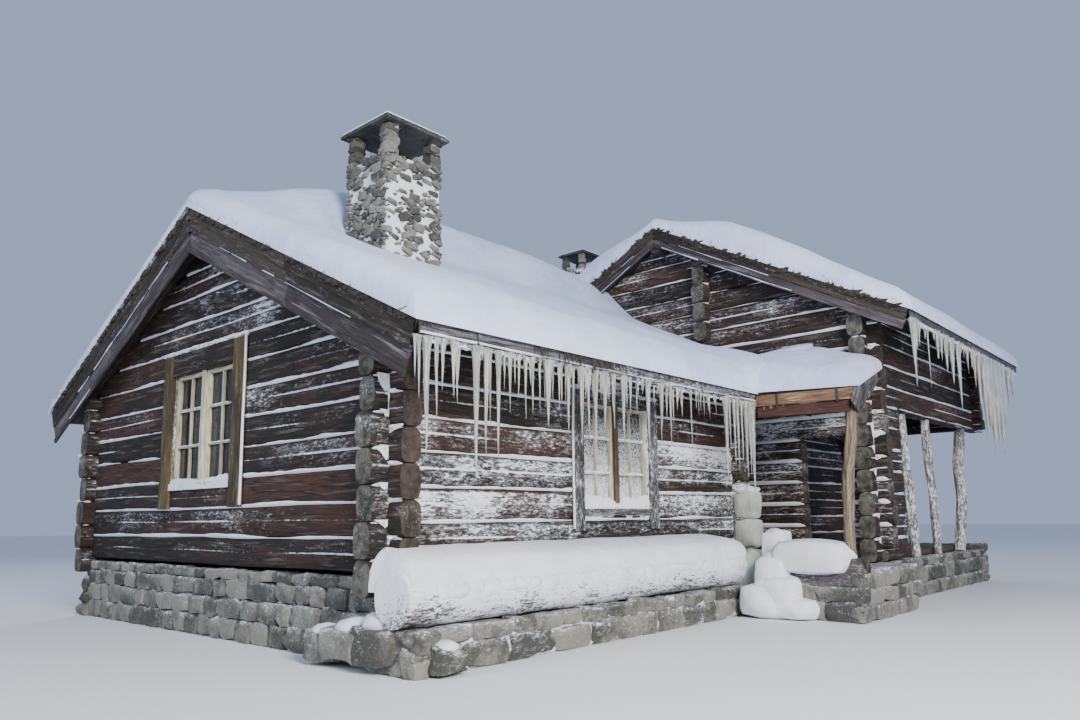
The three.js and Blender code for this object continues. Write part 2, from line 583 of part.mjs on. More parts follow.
// The beam follows the underside of the porch roof, and the post is saddled to its round.
const BEAM_RADIUS = 72;
const beamPoints = [[4828, -1717], [5600, -1610], [6375, -1490]]
  .map(([x, y]) => [x, y, porchTop(x, y) - PORCH.thick - BEAM_RADIUS]);
const porchBeam = timber(beamPoints, BEAM_RADIUS);
const KERB = { x0: 4590, x1: 4840, y0: -1830, y1: -740, top: -150 };
const postHead = beamPoints[0][2] + 15;
const porchPost = timber([[4700, -1690, KERB.top - 60], [4650, -1700, 300], [4760, -1690, 720],
  [4820, -1715, 1080], [4945, -1702, postHead + 30]], 56)
  .intersect(box(4000, 6000, -2500, -1000, KERB.top + GAP, postHead))
  .subtract(timber(beamPoints, BEAM_RADIUS + 2 * GAP));

const kerbLog = alongY([[KERB.x0, GROUND], [KERB.x1, GROUND], [KERB.x1, KERB.top - 60],
  [KERB.x1 - 60, KERB.top], [KERB.x0 + 60, KERB.top], [KERB.x0, KERB.top - 60]], KERB.y0, KERB.y1);
const porchPlatform = join(
  box(KERB.x1 + GAP, REAR.x0 - GAP, -1760, -200, GROUND, PORCH.floor),
  box(FRONT.x1 + GAP, REAR.x0 - GAP, -210, LINK_BACK_Y + LOG, GROUND, PORCH.floor));

const PORCH_SNOW_X = [4740, 4765, 4830, 4960, 5300, 5700, 6080, 6200, REAR.x0 - STUB - 5];
const PORCH_SNOW_Y = [-1860, -1840, -1780, -1650, -1400, -1100, -860, -706];

function porchSnowTop(x, y) {
  const roof = porchTop(x, y);
  const lip = Math.min(rounding(x - PORCH_SNOW_X[0], 260),
    rounding(y - porchBend(x, PORCH_SNOW_Y[0]), 320));
  const level = between(y, -1400, -700, roof + PORCH_COVER, frontSnowTop(x, FRONT_SNOW_Y[0]));
  return roof + SNOW_EDGE + (level - roof - SNOW_EDGE) * lip;
}

const porchSnow = sheet(PORCH_SNOW_X, PORCH_SNOW_Y, (x, y) => porchTop(x, y) + GAP, porchSnowTop,
  (x, y) => Math.min(porchBend(x, y), PORCH_SNOW_Y.at(-1)));

// The snow-topped log along the foot of the long wall
function baseLogRound(radius) {
  return circle(BASE_LOG.y, BASE_LOG.z, radius, 12, Math.PI / 12);
}

const baseLog = alongX(baseLogRound(BASE_LOG.radius), BASE_LOG.x0, BASE_LOG.x1);
const BASE_SNOW_X = [-170, -140, -60, 200, 1000, 2200, 3400, 4400, 4620, 4700];
const BASE_SNOW_Y = [-500, -480, -430, -340, -220, -110, -6];

function baseLogTop(y) {
  const across = Math.min(Math.abs(y - BASE_LOG.y), BASE_LOG.radius * 0.95);
  return BASE_LOG.z + Math.sqrt(BASE_LOG.radius ** 2 - across ** 2) + 2;
}

function baseSnowTop(x, y) {
  const lip = Math.min(rounding(x - BASE_SNOW_X[0], 200), rounding(BASE_SNOW_X.at(-1) - x, 160),
    rounding(y - BASE_SNOW_Y[0], 260));
  const level = between(y, -500, 0, 40, 95);
  return baseLogTop(y) + 30 + (level - baseLogTop(y) - 30) * lip;
}

const baseLogSpace = alongX(
  baseLogRound(BASE_LOG.radius + 2 * GAP), BASE_LOG.x0 - 10, BASE_LOG.x1 + 10);
const baseLogSnow = cut(
  sheet(BASE_SNOW_X, BASE_SNOW_Y, (x, y) => baseLogTop(y) - 25, baseSnowTop), baseLogSpace,
  box(FRONT.x0 - GAP, FRONT.x0 + LOG + GAP, -STUB - GAP, 10, GABLE_SILL - GAP, COURSE));

// Gallery posts, rough and leaning
const POST_FOOT = SILL + GAP;
const POST_HEAD = GALLERY_HEAD - GAP;
const galleryPosts = [
  timber([[8060, -1280, POST_FOOT], [7900, -1290, 600], [7760, -1300, POST_HEAD]], 60),
  timber([[8980, -1300, POST_FOOT], [8870, -1310, 700], [8740, -1310, POST_HEAD]], 55),
  timber([[10050, -1300, POST_FOOT], [10330, -1320, 500], [10330, -1300, 1100],
    [10600, -1310, POST_HEAD]], 75),
].map((post) => post.intersect(box(7000, 11500, -1600, -1000, POST_FOOT, POST_HEAD)));

// Finishes
function finish(color, roughness) {
  return new THREE.MeshStandardMaterial({ color, roughness, metalness: 0 });
}

const finishes = {
  log: finish(0x3a2a20, 0.85),
  stone: finish(0x8a8580, 0.95),
  board: finish(0x6d6059, 0.85),
  freshBoard: finish(0xb5682c, 0.7),
  roof: finish(0x4a4438, 0.95),
  sash: finish(0xe6dfc4, 0.55),
  casing: finish(0x5b4a33, 0.8),
  glass: finish(0x9fb3b0, 0.1),
  snow: finish(0xf2f5fa, 0.8),
};

// The assembly
const chalet = new THREE.Group();

function place(name, solid, look) {
  const mesh = new THREE.Mesh(toGeometry(solid), finishes[look]);
  mesh.name = name;
  chalet.add(mesh);
}

function placeWindow(name, size, run, face, out) {
  place(`${name}_casing`, windowCasing(size, run, face, out), 'casing');
  place(`${name}_sash`, windowSash(size, run, face, out), 'sash');
  place(`${name}_glass`, windowGlass(size, run, face, out), 'glass');
}

place('front_foundation', frontFoundation, 'stone');
place('front_floor', frontFloor, 'board');
place('front_wall', frontWall, 'log');
place('window_gable_wall', windowGableWall, 'log');
place('back_wall', backWall, 'log');
place('end_wall', endWall, 'log');
placeWindow('gable_window', GABLE_WINDOW, 'y', FRONT.x0, -1);
placeWindow('front_window', FRONT_WINDOW, 'x', FRONT.y0, -1);
placeWindow('back_window', BACK_WINDOW, 'x', FRONT.y1, 1);
place('front_ridge_log', ridgeLog(FRONT, ...frontRoofX), 'log');
place('front_roof_south', roofSlab(FRONT, -1, ...frontRoofX, CHIMNEY), 'roof');
place('front_roof_north', roofSlab(FRONT, 1, ...frontRoofX), 'roof');
place('front_verge_boards', vergeBoards(FRONT, FRONT.x0 - VERGE, FRONT_VERGE_DEPTH), 'board');
place('front_eave_board', eaveBoard(FRONT, -250, PORCH.x0 - 30, 1555, 1690), 'board');
place('chimney_stack', chimneyStack(CHIMNEY), 'stone');
place('chimney_cap', chimneyCap(CHIMNEY, CHIMNEY_CAP), 'stone');
place('front_roof_snow', frontRoofSnow, 'snow');
place('base_log', baseLog, 'log');
place('base_log_snow', baseLogSnow, 'snow');

place('link_back_wall', linkBackWall, 'log');
place('porch_platform', porchPlatform, 'stone');
place('porch_kerb_log', kerbLog, 'log');
place('porch_post', porchPost, 'board');
place('porch_beam', porchBeam, 'board');
place('porch_roof', porchRoof, 'board');
place('porch_fascia', porchFascia, 'freshBoard');
place('porch_roof_snow', porchSnow, 'snow');

place('rear_foundation', rearFoundation, 'stone');
place('rear_floor', rearFloor, 'board');
place('rear_west_wall', rearWestWall, 'log');
place('rear_east_wall', rearEastWall, 'log');
place('rear_north_wall', rearNorthWall, 'log');
place('rear_body_wall', rearBodyWall, 'log');
place('gallery_wall', galleryWall, 'log');
galleryPosts.forEach((post, i) => place(`gallery_post_${i + 1}`, post, 'board'));
placeWindow('east_window', EAST_WINDOW, 'y', REAR.x1, 1);
place('rear_ridge_log', ridgeLog(REAR, rearRoofX[0], rearRoofX[1]), 'log');
place('rear_roof_south', roofSlab(REAR, -1, ...rearRoofX), 'roof');
place('rear_roof_north', roofSlab(REAR, 1, ...rearRoofX, REAR_CHIMNEY), 'roof');
const rearVerge = (x) => vergeBoards(REAR, x, REAR_VERGE_DEPTH);
place('rear_west_verge_boards', rearVerge(REAR.x0 - VERGE), 'board');
place('rear_east_verge_boards', rearVerge(REAR.x1 + VERGE - VERGE_BOARD), 'board');
place('rear_eave_board', eaveBoard(REAR, REAR.x0 - 250, REAR.x1 + 250, 2570, 2700), 'board');
place('rear_chimney_stack', chimneyStack(REAR_CHIMNEY), 'stone');
place('rear_chimney_cap', chimneyCap(REAR_CHIMNEY, REAR_CAP), 'stone');
place('rear_roof_snow', rearRoofSnow, 'snow');

const bounds = new THREE.Box3().setFromObject(chalet);
const middle = bounds.getCenter(new THREE.Vector3());
chalet.position.set(-middle.x, -middle.y, -bounds.min.z);

export default chalet;
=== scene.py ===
# Log chalet of two joined wings under deep snow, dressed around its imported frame.
# Lengths are metres. The house is laid out in its own frame, with the near corner of the
# front wing at X = 0, Y = 0 and the top of its sill log at Z = 0; SHIFT moves a finished
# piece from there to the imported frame.

import math
import random
from collections import namedtuple

import bmesh
import bpy
from mathutils import Matrix, Vector, noise


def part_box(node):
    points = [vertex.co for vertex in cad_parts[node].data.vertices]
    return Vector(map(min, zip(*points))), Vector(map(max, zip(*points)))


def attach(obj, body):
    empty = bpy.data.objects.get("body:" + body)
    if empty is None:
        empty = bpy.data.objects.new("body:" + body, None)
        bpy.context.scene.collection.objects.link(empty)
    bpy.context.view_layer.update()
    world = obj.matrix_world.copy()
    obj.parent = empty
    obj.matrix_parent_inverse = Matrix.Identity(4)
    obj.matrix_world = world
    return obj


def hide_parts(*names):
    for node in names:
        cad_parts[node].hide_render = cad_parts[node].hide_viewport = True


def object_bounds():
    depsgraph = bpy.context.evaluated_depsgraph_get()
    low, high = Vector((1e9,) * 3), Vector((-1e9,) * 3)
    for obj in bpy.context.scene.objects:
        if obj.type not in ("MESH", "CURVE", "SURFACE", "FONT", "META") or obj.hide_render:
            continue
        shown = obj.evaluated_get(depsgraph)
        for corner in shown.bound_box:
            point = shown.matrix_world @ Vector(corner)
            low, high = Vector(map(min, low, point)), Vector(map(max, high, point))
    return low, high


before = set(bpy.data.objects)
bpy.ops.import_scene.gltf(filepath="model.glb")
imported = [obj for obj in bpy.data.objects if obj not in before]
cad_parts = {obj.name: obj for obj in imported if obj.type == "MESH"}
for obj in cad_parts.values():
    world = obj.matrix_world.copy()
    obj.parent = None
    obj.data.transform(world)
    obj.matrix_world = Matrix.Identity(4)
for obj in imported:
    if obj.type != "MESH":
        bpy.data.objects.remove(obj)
CAD_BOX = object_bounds()

bl_info = {
    "name": "Log chalet under snow",
    "version": (1, 0, 0),
    "blender": (4, 5, 0),
    "location": "View3D > Sidebar > Chalet",
    "description": "Models and finishes a notched-log chalet with snow, ice and turf roofs",
    "category": "Object",
}

# Driving dimensions
COURSE = 0.28        # height of one log course
LOG = 0.19           # thickness of a log wall
STUB = 0.145         # length of a log end past the corner
SHOULDER = 0.052     # rounding of a log's long edges
GABLE_LINE = 0.16    # course line of the walls that run along Y
SILL = -0.28
GROUND = -0.8
ROOF = 0.15          # boards and turf, measured upright
VERGE = 0.293

Wing = namedtuple("Wing", "x0 x1 y0 y1 ridge_y ridge_z slope eave")
FRONT = Wing(0.0, 5.53, 0.0, 5.9, 2.95, 3.485, 0.495, 0.634)
REAR = Wing(6.4, 11.2, -1.4, 4.5, 1.55, 4.6, 0.53, 0.6)

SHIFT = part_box("front_wall")[0] - Vector((-STUB, 0.0, SILL))

Opening = namedtuple("Opening", "low high bottom top")
GABLE_WINDOW = Opening(2.4, 3.67, 0.69, 1.84)
FRONT_WINDOW = Opening(2.36, 3.49, 0.38, 1.44)
BACK_WINDOW = Opening(2.2, 3.33, 0.48, 1.44)
EAST_WINDOW = Opening(2.0, 3.27, 0.69, 1.84)
LINING = 0.04

# The picture's camera: place, aim and lens
CAMERA_PLACE = Vector((-3.92, -5.04, 0.29))
CAMERA_YAW = math.radians(41.6)
CAMERA_PITCH = math.radians(8.25)
CAMERA_ROLL = math.radians(-0.67)
CAMERA_LENS = 27.34
CAMERA_SHIFT = 0.0366

UP = Vector((0.0, 0.0, 1.0))
VECTOR_SEED = 7      # where noise_vector starts, so that each run gives the same stones
EAST, WEST = Vector((1.0, 0.0, 0.0)), Vector((-1.0, 0.0, 0.0))
NORTH, SOUTH = Vector((0.0, 1.0, 0.0)), Vector((0.0, -1.0, 0.0))


def waver(x, y, z):
    """A smooth random value between about -1 and 1 at a place."""
    return noise.noise(Vector((x, y, z)))


def roof_top(wing, y):
    """Height of the upper face of a wing's roof slabs."""
    return wing.ridge_z - wing.slope * abs(y - wing.ridge_y)


def local_box(node):
    """Two corners of a node's box in the frame of the house."""
    low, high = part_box(node)
    return low - SHIFT, high - SHIFT


# Patterns: small shapes modelled once and copied
class Pattern:
    """A modelled shape kept as points and faces, ready to be copied."""

    def __init__(self, obj, rings=1):
        if obj.mode == "EDIT":
            bpy.ops.object.mode_set(mode="OBJECT")
        mesh = obj.data
        self.points = [vertex.co.copy() for vertex in mesh.vertices]
        self.faces = [tuple(face.vertices) for face in mesh.polygons]
        self.ends = [abs(face.normal.x) > 0.9 for face in mesh.polygons]
        self.rings = rings
        bpy.data.objects.remove(obj)
        bpy.data.meshes.remove(mesh)


class Pile:
    """Copies of patterns gathered into one mesh, with the grain of each copy."""

    def __init__(self):
        self.points = []
        self.faces = []
        self.finishes = []
        self.grain = []
        self.drift = []

    def add(self, pattern, shape, finish=0, end_finish=None):
        first = len(self.points)
        for point in pattern.points:
            made = shape(point)
            place, grain, drift = made if isinstance(made, tuple) else (made, made, 0.0)
            self.points.append(place)
            self.grain.append(grain)
            self.drift.append(drift)
        for face, is_end in zip(pattern.faces, pattern.ends):
            self.faces.append([first + index for index in face])
            self.finishes.append(end_finish if is_end and end_finish is not None else finish)

    def make(self, name):
        mesh = bpy.data.meshes.new(name)
        mesh.from_pydata(self.points, [], self.faces)
        mesh.polygons.foreach_set("material_index", self.finishes)
        grain = mesh.attributes.new("grain", "FLOAT_VECTOR", "POINT")
        grain.data.foreach_set("vector", [value for point in self.grain for value in point])
        drift = mesh.attributes.new("drift", "FLOAT", "POINT")
        drift.data.foreach_set("value", self.drift)
        obj = bpy.data.objects.new(name, mesh)
        bpy.context.collection.objects.link(obj)
        return obj


def activate(obj):
    bpy.ops.object.select_all(action="DESELECT")
    obj.select_set(True)
    bpy.context.view_layer.objects.active = obj


def primitive(kind, **options):
    """Add a primitive with nothing else selected."""
    bpy.ops.object.select_all(action="DESELECT")
    getattr(bpy.ops.mesh, f"primitive_{kind}_add")(**options)
    return bpy.context.active_object


def start_cube(size, cuts=0):
    """A box at the origin, left in edit mode with everything selected."""
    obj = primitive("cube", size=1.0)
    bpy.ops.object.mode_set(mode="EDIT")
    bpy.ops.transform.resize(value=size)
    if cuts:
        bpy.ops.mesh.subdivide(number_cuts=cuts)
    return obj


def start_bar(kind, **options):
    """A round primitive of unit length laid along X, left in edit mode."""
    obj = primitive(kind, depth=1.0, rotation=(0.0, math.pi / 2, 0.0), **options)
    bpy.ops.object.transform_apply(location=True, rotation=True, scale=True)
    bpy.ops.object.mode_set(mode="EDIT")
    return obj


def closed_grid(columns, rows):
    """A grid of unit size drawn up by one into a closed slab, back in object mode."""
    obj = primitive("grid", x_subdivisions=columns, y_subdivisions=rows, size=1.0)
    bpy.ops.object.mode_set(mode="EDIT")
    bpy.ops.mesh.select_all(action="SELECT")
    bpy.ops.mesh.extrude_region_move(TRANSFORM_OT_translate={"value": (0.0, 0.0, 1.0)})
    bpy.ops.mesh.select_all(action="SELECT")
    bpy.ops.mesh.normals_make_consistent(inside=False)
    bpy.ops.object.mode_set(mode="OBJECT")
    return obj


def round_corners(obj, factor):
    """Draw the corners of a block in towards a ball, back in object mode."""
    bpy.ops.object.mode_set(mode="OBJECT")
    ball = obj.modifiers.new("Cast", "CAST")
    ball.factor = factor
    bpy.ops.object.modifier_apply(modifier=ball.name)


def choose_edges(obj, test):
    bpy.ops.mesh.select_mode(type="EDGE")
    bpy.ops.mesh.select_all(action="DESELECT")
    shape = bmesh.from_edit_mesh(obj.data)
    for edge in shape.edges:
        if test(edge.verts[0].co, edge.verts[1].co):
            edge.select_set(True)
    bmesh.update_edit_mesh(obj.data)


def along_x(a, b):
    return abs(a.y - b.y) < 1e-5 and abs(a.z - b.z) < 1e-5


def cut_rings(obj, rings):
    """Divide the long edges, so that the shape has that many steps along X."""
    choose_edges(obj, along_x)
    bpy.ops.mesh.subdivide(number_cuts=rings - 1)


def cut_rows(heights):
    for height in heights:
        bpy.ops.mesh.select_all(action="SELECT")
        bpy.ops.mesh.bisect(plane_co=(0.0, 0.0, height), plane_no=(0.0, 0.0, 1.0))


def log_pattern(rings):
    """One squared log with rounded shoulders and rows for a long drying crack."""
    obj = start_cube((1.0, LOG, COURSE - 0.006))
    choose_edges(obj, along_x)
    bpy.ops.mesh.bevel(offset=SHOULDER, segments=3, profile=0.55)
    cut_rows((-0.06, -0.012, 0.0, 0.012, 0.06))
    cut_rings(obj, rings)
    return Pattern(obj, rings)


def board_pattern(rings):
    """A thin board of unit size with eased edges."""
    obj = start_cube((1.0, 1.0, 1.0))
    choose_edges(obj, along_x)
    bpy.ops.mesh.bevel(offset=0.08, segments=2, profile=0.6)
    cut_rings(obj, rings)
    return Pattern(obj, rings)


def round_pattern(sides, rings):
    """A round bar of unit length along X and radius 1."""
    obj = start_bar("cylinder", vertices=sides, radius=1.0)
    cut_rings(obj, rings)
    return Pattern(obj, rings)


def stone_patterns(count, flat):
    """Field stones: blocks with knocked corners, each one different."""
    noise.seed_set(VECTOR_SEED)
    stones = []
    for number in range(count):
        obj = start_cube((1.0, 1.0, flat), 2)
        round_corners(obj, 0.42)
        for vertex in obj.data.vertices:
            rough = noise.noise_vector(vertex.co * 1.9 + Vector((number * 7.3, 1.7, 0.4)))
            fine = noise.noise_vector(vertex.co * 4.7 + Vector((number * 3.1, 5.2, 2.4)))
            vertex.co += rough * 0.17 + fine * 0.05
        stones.append(Pattern(obj))
    return stones


def lump_patterns(count):
    """Small pats of snow: flattened balls with a soft uneven surface."""
    noise.seed_set(VECTOR_SEED)
    lumps = []
    for number in range(count):
        obj = primitive("ico_sphere", subdivisions=2, radius=0.5)
        for vertex in obj.data.vertices:
            vertex.co += noise.noise_vector(vertex.co * 2.6 + Vector((number * 5.1, 0.3, 8.0))) * 0.12
        lumps.append(Pattern(obj))
    return lumps


def pillow_pattern():
    """A rounded block, for banked and heaped snow."""
    obj = start_cube((1.0, 1.0, 1.0), 8)
    round_corners(obj, 0.6)
    return Pattern(obj)


def heap(pile, pattern, centre, size, seed=0, rough=0.1, finish=0):
    """Set a soft heap down on its place."""
    centre = Vector(centre)

    def shape(point):
        swell = 1.0 + rough * noise.noise(point * 2.1 + Vector((seed * 3.7, 0.0, 2.0)))
        place = centre + Vector((point.x * size[0], point.y * size[1], point.z * size[2])) * swell
        return place, tuple(place), 0.4

    pile.add(pattern, shape, finish)


# Materials
def feed(tree, socket, value):
    """Link a socket, or set it where a plain value is given."""
    if isinstance(value, bpy.types.NodeSocket):
        tree.links.new(value, socket)
    else:
        socket.default_value = (*value[:3], 1.0) if socket.type == "RGBA" else value


def put(tree, kind, settings=None, **inputs):
    """Add a node, set it up and feed the sockets that are given."""
    node = tree.nodes.new(kind)
    for key, value in (settings or {}).items():
        setattr(node, key, value)
    for key, value in inputs.items():
        feed(tree, node.inputs[key.replace("_", " ")], value)
    return node


def object_place(tree):
    return put(tree, "ShaderNodeTexCoord").outputs["Object"]


def stretched(tree, vector, scale, offset=(0.0, 0.0, 0.0)):
    """A vector scaled apart along its axes."""
    return put(tree, "ShaderNodeMapping", Vector=vector, Scale=scale, Location=offset).outputs["Vector"]


def cloud(tree, vector, scale, detail=4.0, roughness=0.55):
    """A noise mask."""
    node = put(tree, "ShaderNodeTexNoise", Vector=vector, Scale=scale, Detail=detail, Roughness=roughness)
    return node.outputs["Fac"]


def cell_edges(tree, vector, scale):
    """Distance to the nearest edge of irregular cells."""
    node = put(tree, "ShaderNodeTexVoronoi", {"feature": "DISTANCE_TO_EDGE"}, Vector=vector, Scale=scale)
    return node.outputs["Distance"]


def maths(tree, operation, a, b):
    node = put(tree, "ShaderNodeMath", {"operation": operation})
    for socket, value in zip(node.inputs, (a, b)):
        feed(tree, socket, value)
    return node.outputs[0]


def blend(tree, *parts):
    """The sum of some values, each one with its weight."""
    shares = [value if weight == 1.0 else maths(tree, "MULTIPLY", value, weight) for value, weight in parts]
    result = shares[0]
    for share in shares[1:]:
        result = maths(tree, "ADD", result, share)
    return result


def ease(tree, value, low, high, to_low=0.0, to_high=1.0):
    """A smooth step of a mask between two values."""
    node = put(tree, "ShaderNodeMapRange", {"interpolation_type": "SMOOTHSTEP"}, Value=value)
    for key, number in (("From Min", low), ("From Max", high), ("To Min", to_low), ("To Max", to_high)):
        node.inputs[key].default_value = number
    return node.outputs["Result"]


def mix(tree, factor, a, b):
    node = put(tree, "ShaderNodeMix", {"data_type": "RGBA"})
    for index, value in ((0, factor), (6, a), (7, b)):
        feed(tree, node.inputs[index], value)
    return node.outputs[2]


GROUP_VECTORS = ("Grain", "Place", "Stretch")


def new_group(name, result, **inputs):
    tree = bpy.data.node_groups.new(name, "ShaderNodeTree")
    for label, value in inputs.items():
        kind = "Float" if isinstance(value, float) else "Vector" if label in GROUP_VECTORS else "Color"
        socket = tree.interface.new_socket(name=label, in_out="INPUT", socket_type="NodeSocket" + kind)
        if value is not None:
            socket.default_value = (*value, 1.0) if kind == "Color" else value
    for label in result:
        kind = "NodeSocketColor" if label == "Color" else "NodeSocketFloat"
        tree.interface.new_socket(name=label, in_out="OUTPUT", socket_type=kind)
    return tree, tree.nodes.new("NodeGroupInput").outputs, tree.nodes.new("NodeGroupOutput").inputs


def weathered_wood_group():
    """Old wood: long fibres, drying cracks, silvered and reddish streaks."""
    tree, given, result = new_group("Weathered wood", ("Color", "Height"), Grain=None,
                                    Dark=(0.03, 0.02, 0.016), Warm=(0.1, 0.05, 0.03),
                                    Silver=(0.2, 0.18, 0.16), Crack=0.6)
    grain = given["Grain"]
    fibres = cloud(tree, stretched(tree, grain, (1.8, 46.0, 46.0)), 3.0, 7.0, 0.7)
    streaks = cloud(tree, stretched(tree, grain, (0.9, 9.0, 9.0)), 2.4, 5.0, 0.6)
    patches = cloud(tree, stretched(tree, grain, (0.8, 2.6, 2.6), (3.1, 0.0, 0.0)), 1.9, 3.0)
    timber = cloud(tree, stretched(tree, grain, (0.13, 0.0, 0.0)), 1.0, 0.0)
    cells = cell_edges(tree, stretched(tree, grain, (0.3, 7.5, 7.5)), 3.2)
    open_crack = maths(tree, "MULTIPLY", ease(tree, cells, 0.0, 0.1, 1.0, 0.0),
                       ease(tree, streaks, 0.42, 0.56))
    crack = maths(tree, "MULTIPLY", open_crack, given["Crack"])
    tone = blend(tree, (patches, 0.55), (timber, 0.75))
    body = mix(tree, ease(tree, tone, 0.56, 0.82), given["Dark"], given["Warm"])
    aged = mix(tree, maths(tree, "MULTIPLY", ease(tree, streaks, 0.5, 0.68), 0.8), body, given["Silver"])
    fibred = mix(tree, ease(tree, fibres, 0.36, 0.62, 0.7, 0.0), aged, (0.01, 0.008, 0.007))
    # Near-black in the open drying cracks is painted shade in the cracks.
    tree.links.new(mix(tree, crack, fibred, (0.004, 0.003, 0.003)), result["Color"])
    relief = blend(tree, (fibres, 0.35), (streaks, 0.4))
    tree.links.new(maths(tree, "SUBTRACT", relief, crack), result["Height"])
    return tree


def end_grain_group():
    """Sawn and hewn log ends: year rings, radial checks and grey weathering."""
    tree, given, result = new_group("End grain", ("Color", "Height"), Grain=None, Dark=(0.05, 0.045, 0.035),
                                    Light=(0.16, 0.16, 0.13))
    wave = put(tree, "ShaderNodeTexWave", {"wave_type": "RINGS", "rings_direction": "X"}, Scale=16.0,
               Distortion=2.2, Detail=3.0, Vector=stretched(tree, given["Grain"], (0.0, 1.0, 1.0)))
    spots = cloud(tree, given["Grain"], 14.0, 5.0, 0.6)
    broad = cloud(tree, given["Grain"], 4.0, 3.0)
    tone = blend(tree, (wave.outputs["Fac"], 0.03), (spots, 0.75), (broad, 0.5))
    tree.links.new(mix(tree, ease(tree, tone, 0.46, 0.82), given["Dark"], given["Light"]), result["Color"])
    tree.links.new(maths(tree, "MULTIPLY", spots, 0.8), result["Height"])
    return tree


def clinging_snow_group():
    """Wind-packed snow that clings in short streaks where the drift value allows."""
    tree, given, result = new_group("Clinging snow", ("Mask", "Color"), Grain=None, Drift=0.3,
                                    Stretch=(6.0, 20.0, 26.0))
    scaled = put(tree, "ShaderNodeVectorMath", {"operation": "MULTIPLY"})
    tree.links.new(given["Grain"], scaled.inputs[0])
    tree.links.new(given["Stretch"], scaled.inputs[1])
    pats = cloud(tree, scaled.outputs[0], 1.0, 6.0, 0.75)
    wide = cloud(tree, given["Grain"], 2.3, 2.0, 0.5)
    crackle = cloud(tree, stretched(tree, given["Grain"], (20.0, 56.0, 56.0)), 1.0, 4.0, 0.75)
    level = blend(tree, (pats, 0.9), (wide, 0.5), (crackle, 1.3), (given["Drift"], 1.0))
    film = ease(tree, level, 1.4, 1.66, 0.0, 0.24)
    solid = ease(tree, level, 1.62, 1.72)
    tree.links.new(maths(tree, "MAXIMUM", film, solid), result["Mask"])
    tint = cloud(tree, given["Grain"], 30.0, 3.0)
    tree.links.new(mix(tree, tint, (0.62, 0.68, 0.76), (0.82, 0.86, 0.92)), result["Color"])
    return tree


def powder_group():
    """Fresh snow: painted blue shade in faint hollows, spread by noise, and a fine crystal grain."""
    tree, given, result = new_group("Powder snow", ("Color", "Height"), Place=None, Shade=(0.66, 0.73, 0.85),
                                    Light=(0.86, 0.895, 0.95))
    broad = cloud(tree, given["Place"], 0.9, 4.0)
    ripple = cloud(tree, stretched(tree, given["Place"], (3.0, 7.0, 3.0)), 1.6, 5.0, 0.6)
    crystal = cloud(tree, given["Place"], 160.0, 2.0, 0.7)
    tone = blend(tree, (broad, 0.6), (ripple, 0.4))
    tree.links.new(mix(tree, ease(tree, tone, 0.35, 0.6), given["Shade"], given["Light"]), result["Color"])
    tree.links.new(blend(tree, (ripple, 1.0), (crystal, 0.12)), result["Height"])
    return tree


def stone_group():
    """Field stone: mottled tones, mineral specks and lichen."""
    tree, given, result = new_group("Field stone", ("Color", "Height"), Place=None, Dark=(0.07, 0.065, 0.06),
                                    Light=(0.26, 0.235, 0.2))
    blotch = cloud(tree, given["Place"], 5.0, 6.0, 0.6)
    speck = cloud(tree, given["Place"], 46.0, 4.0, 0.7)
    lichen = cloud(tree, given["Place"], 9.0, 5.0, 0.7)
    each = cloud(tree, given["Place"], 0.8, 0.0)
    tone = blend(tree, (blotch, 0.7), (speck, 0.3), (each, 0.75))
    base = mix(tree, ease(tree, tone, 0.72, 1.04), given["Dark"], given["Light"])
    grown = mix(tree, ease(tree, lichen, 0.6, 0.68, 0.0, 0.6), base, (0.16, 0.17, 0.09))
    tree.links.new(grown, result["Color"])
    tree.links.new(tone, result["Height"])
    return tree


GROUPS = {}


def group_node(tree, name, **inputs):
    return put(tree, "ShaderNodeGroup", {"node_tree": GROUPS[name]}, **inputs)


def attribute(tree, name, output):
    node = tree.nodes.new("ShaderNodeAttribute")
    node.attribute_name = name
    return node.outputs[output]


def new_material(name, view_colour):
    material = bpy.data.materials.new(name)
    material.use_nodes = True
    material.diffuse_color = (*view_colour[:3], 1.0)
    return material, material.node_tree


def dress(tree, **inputs):
    """Feed sockets of the shader."""
    for key, value in inputs.items():
        feed(tree, tree.nodes["Principled BSDF"].inputs[key.replace("_", " ")], value)


def finish_surface(tree, colour, height, roughness, bump, distance, **others):
    relief = put(tree, "ShaderNodeBump", Height=height, Strength=bump, Distance=distance)
    dress(tree, Base_Color=colour, Roughness=roughness, Normal=relief.outputs["Normal"], **others)


def under_snow(tree, look, place, snow, weight, **stretch):
    """The colour and height of a look with clinging snow over it, and the mask of the snow."""
    drift = maths(tree, "ADD", attribute(tree, "drift", "Fac"), snow)
    cling = group_node(tree, "cling", Grain=place, Drift=drift, **stretch)
    mask = cling.outputs["Mask"]
    colour = mix(tree, mask, look.outputs["Color"], cling.outputs["Color"])
    return colour, blend(tree, (look.outputs["Height"], 1.0), (mask, weight)), mask


def wood(name, dark, warm, silver, crack=0.0, ends=False):
    """Wood that reads its own grain, with clinging snow above the drift of each piece."""
    material, tree = new_material(name, warm)
    grain = attribute(tree, "grain", "Vector")
    if ends:
        look = group_node(tree, "end", Grain=grain, Dark=dark, Light=silver)
    else:
        look = group_node(tree, "wood", Grain=grain, Dark=dark, Warm=warm, Silver=silver, Crack=crack)
    colour, height, mask = under_snow(tree, look, grain, 0.0, 0.9)
    finish_surface(tree, colour, height, ease(tree, mask, 0.0, 1.0, 0.82, 0.68), 0.5, 0.012,
                   Specular_IOR_Level=0.3)
    return material


def stone(name, dark, light, snow):
    material, tree = new_material(name, light)
    look = group_node(tree, "stone", Place=attribute(tree, "grain", "Vector"), Dark=dark, Light=light)
    colour, height, _ = under_snow(tree, look, object_place(tree), snow, 0.7, Stretch=(11.0, 11.0, 14.0))
    finish_surface(tree, colour, height, 0.86, 0.6, 0.012)
    return material


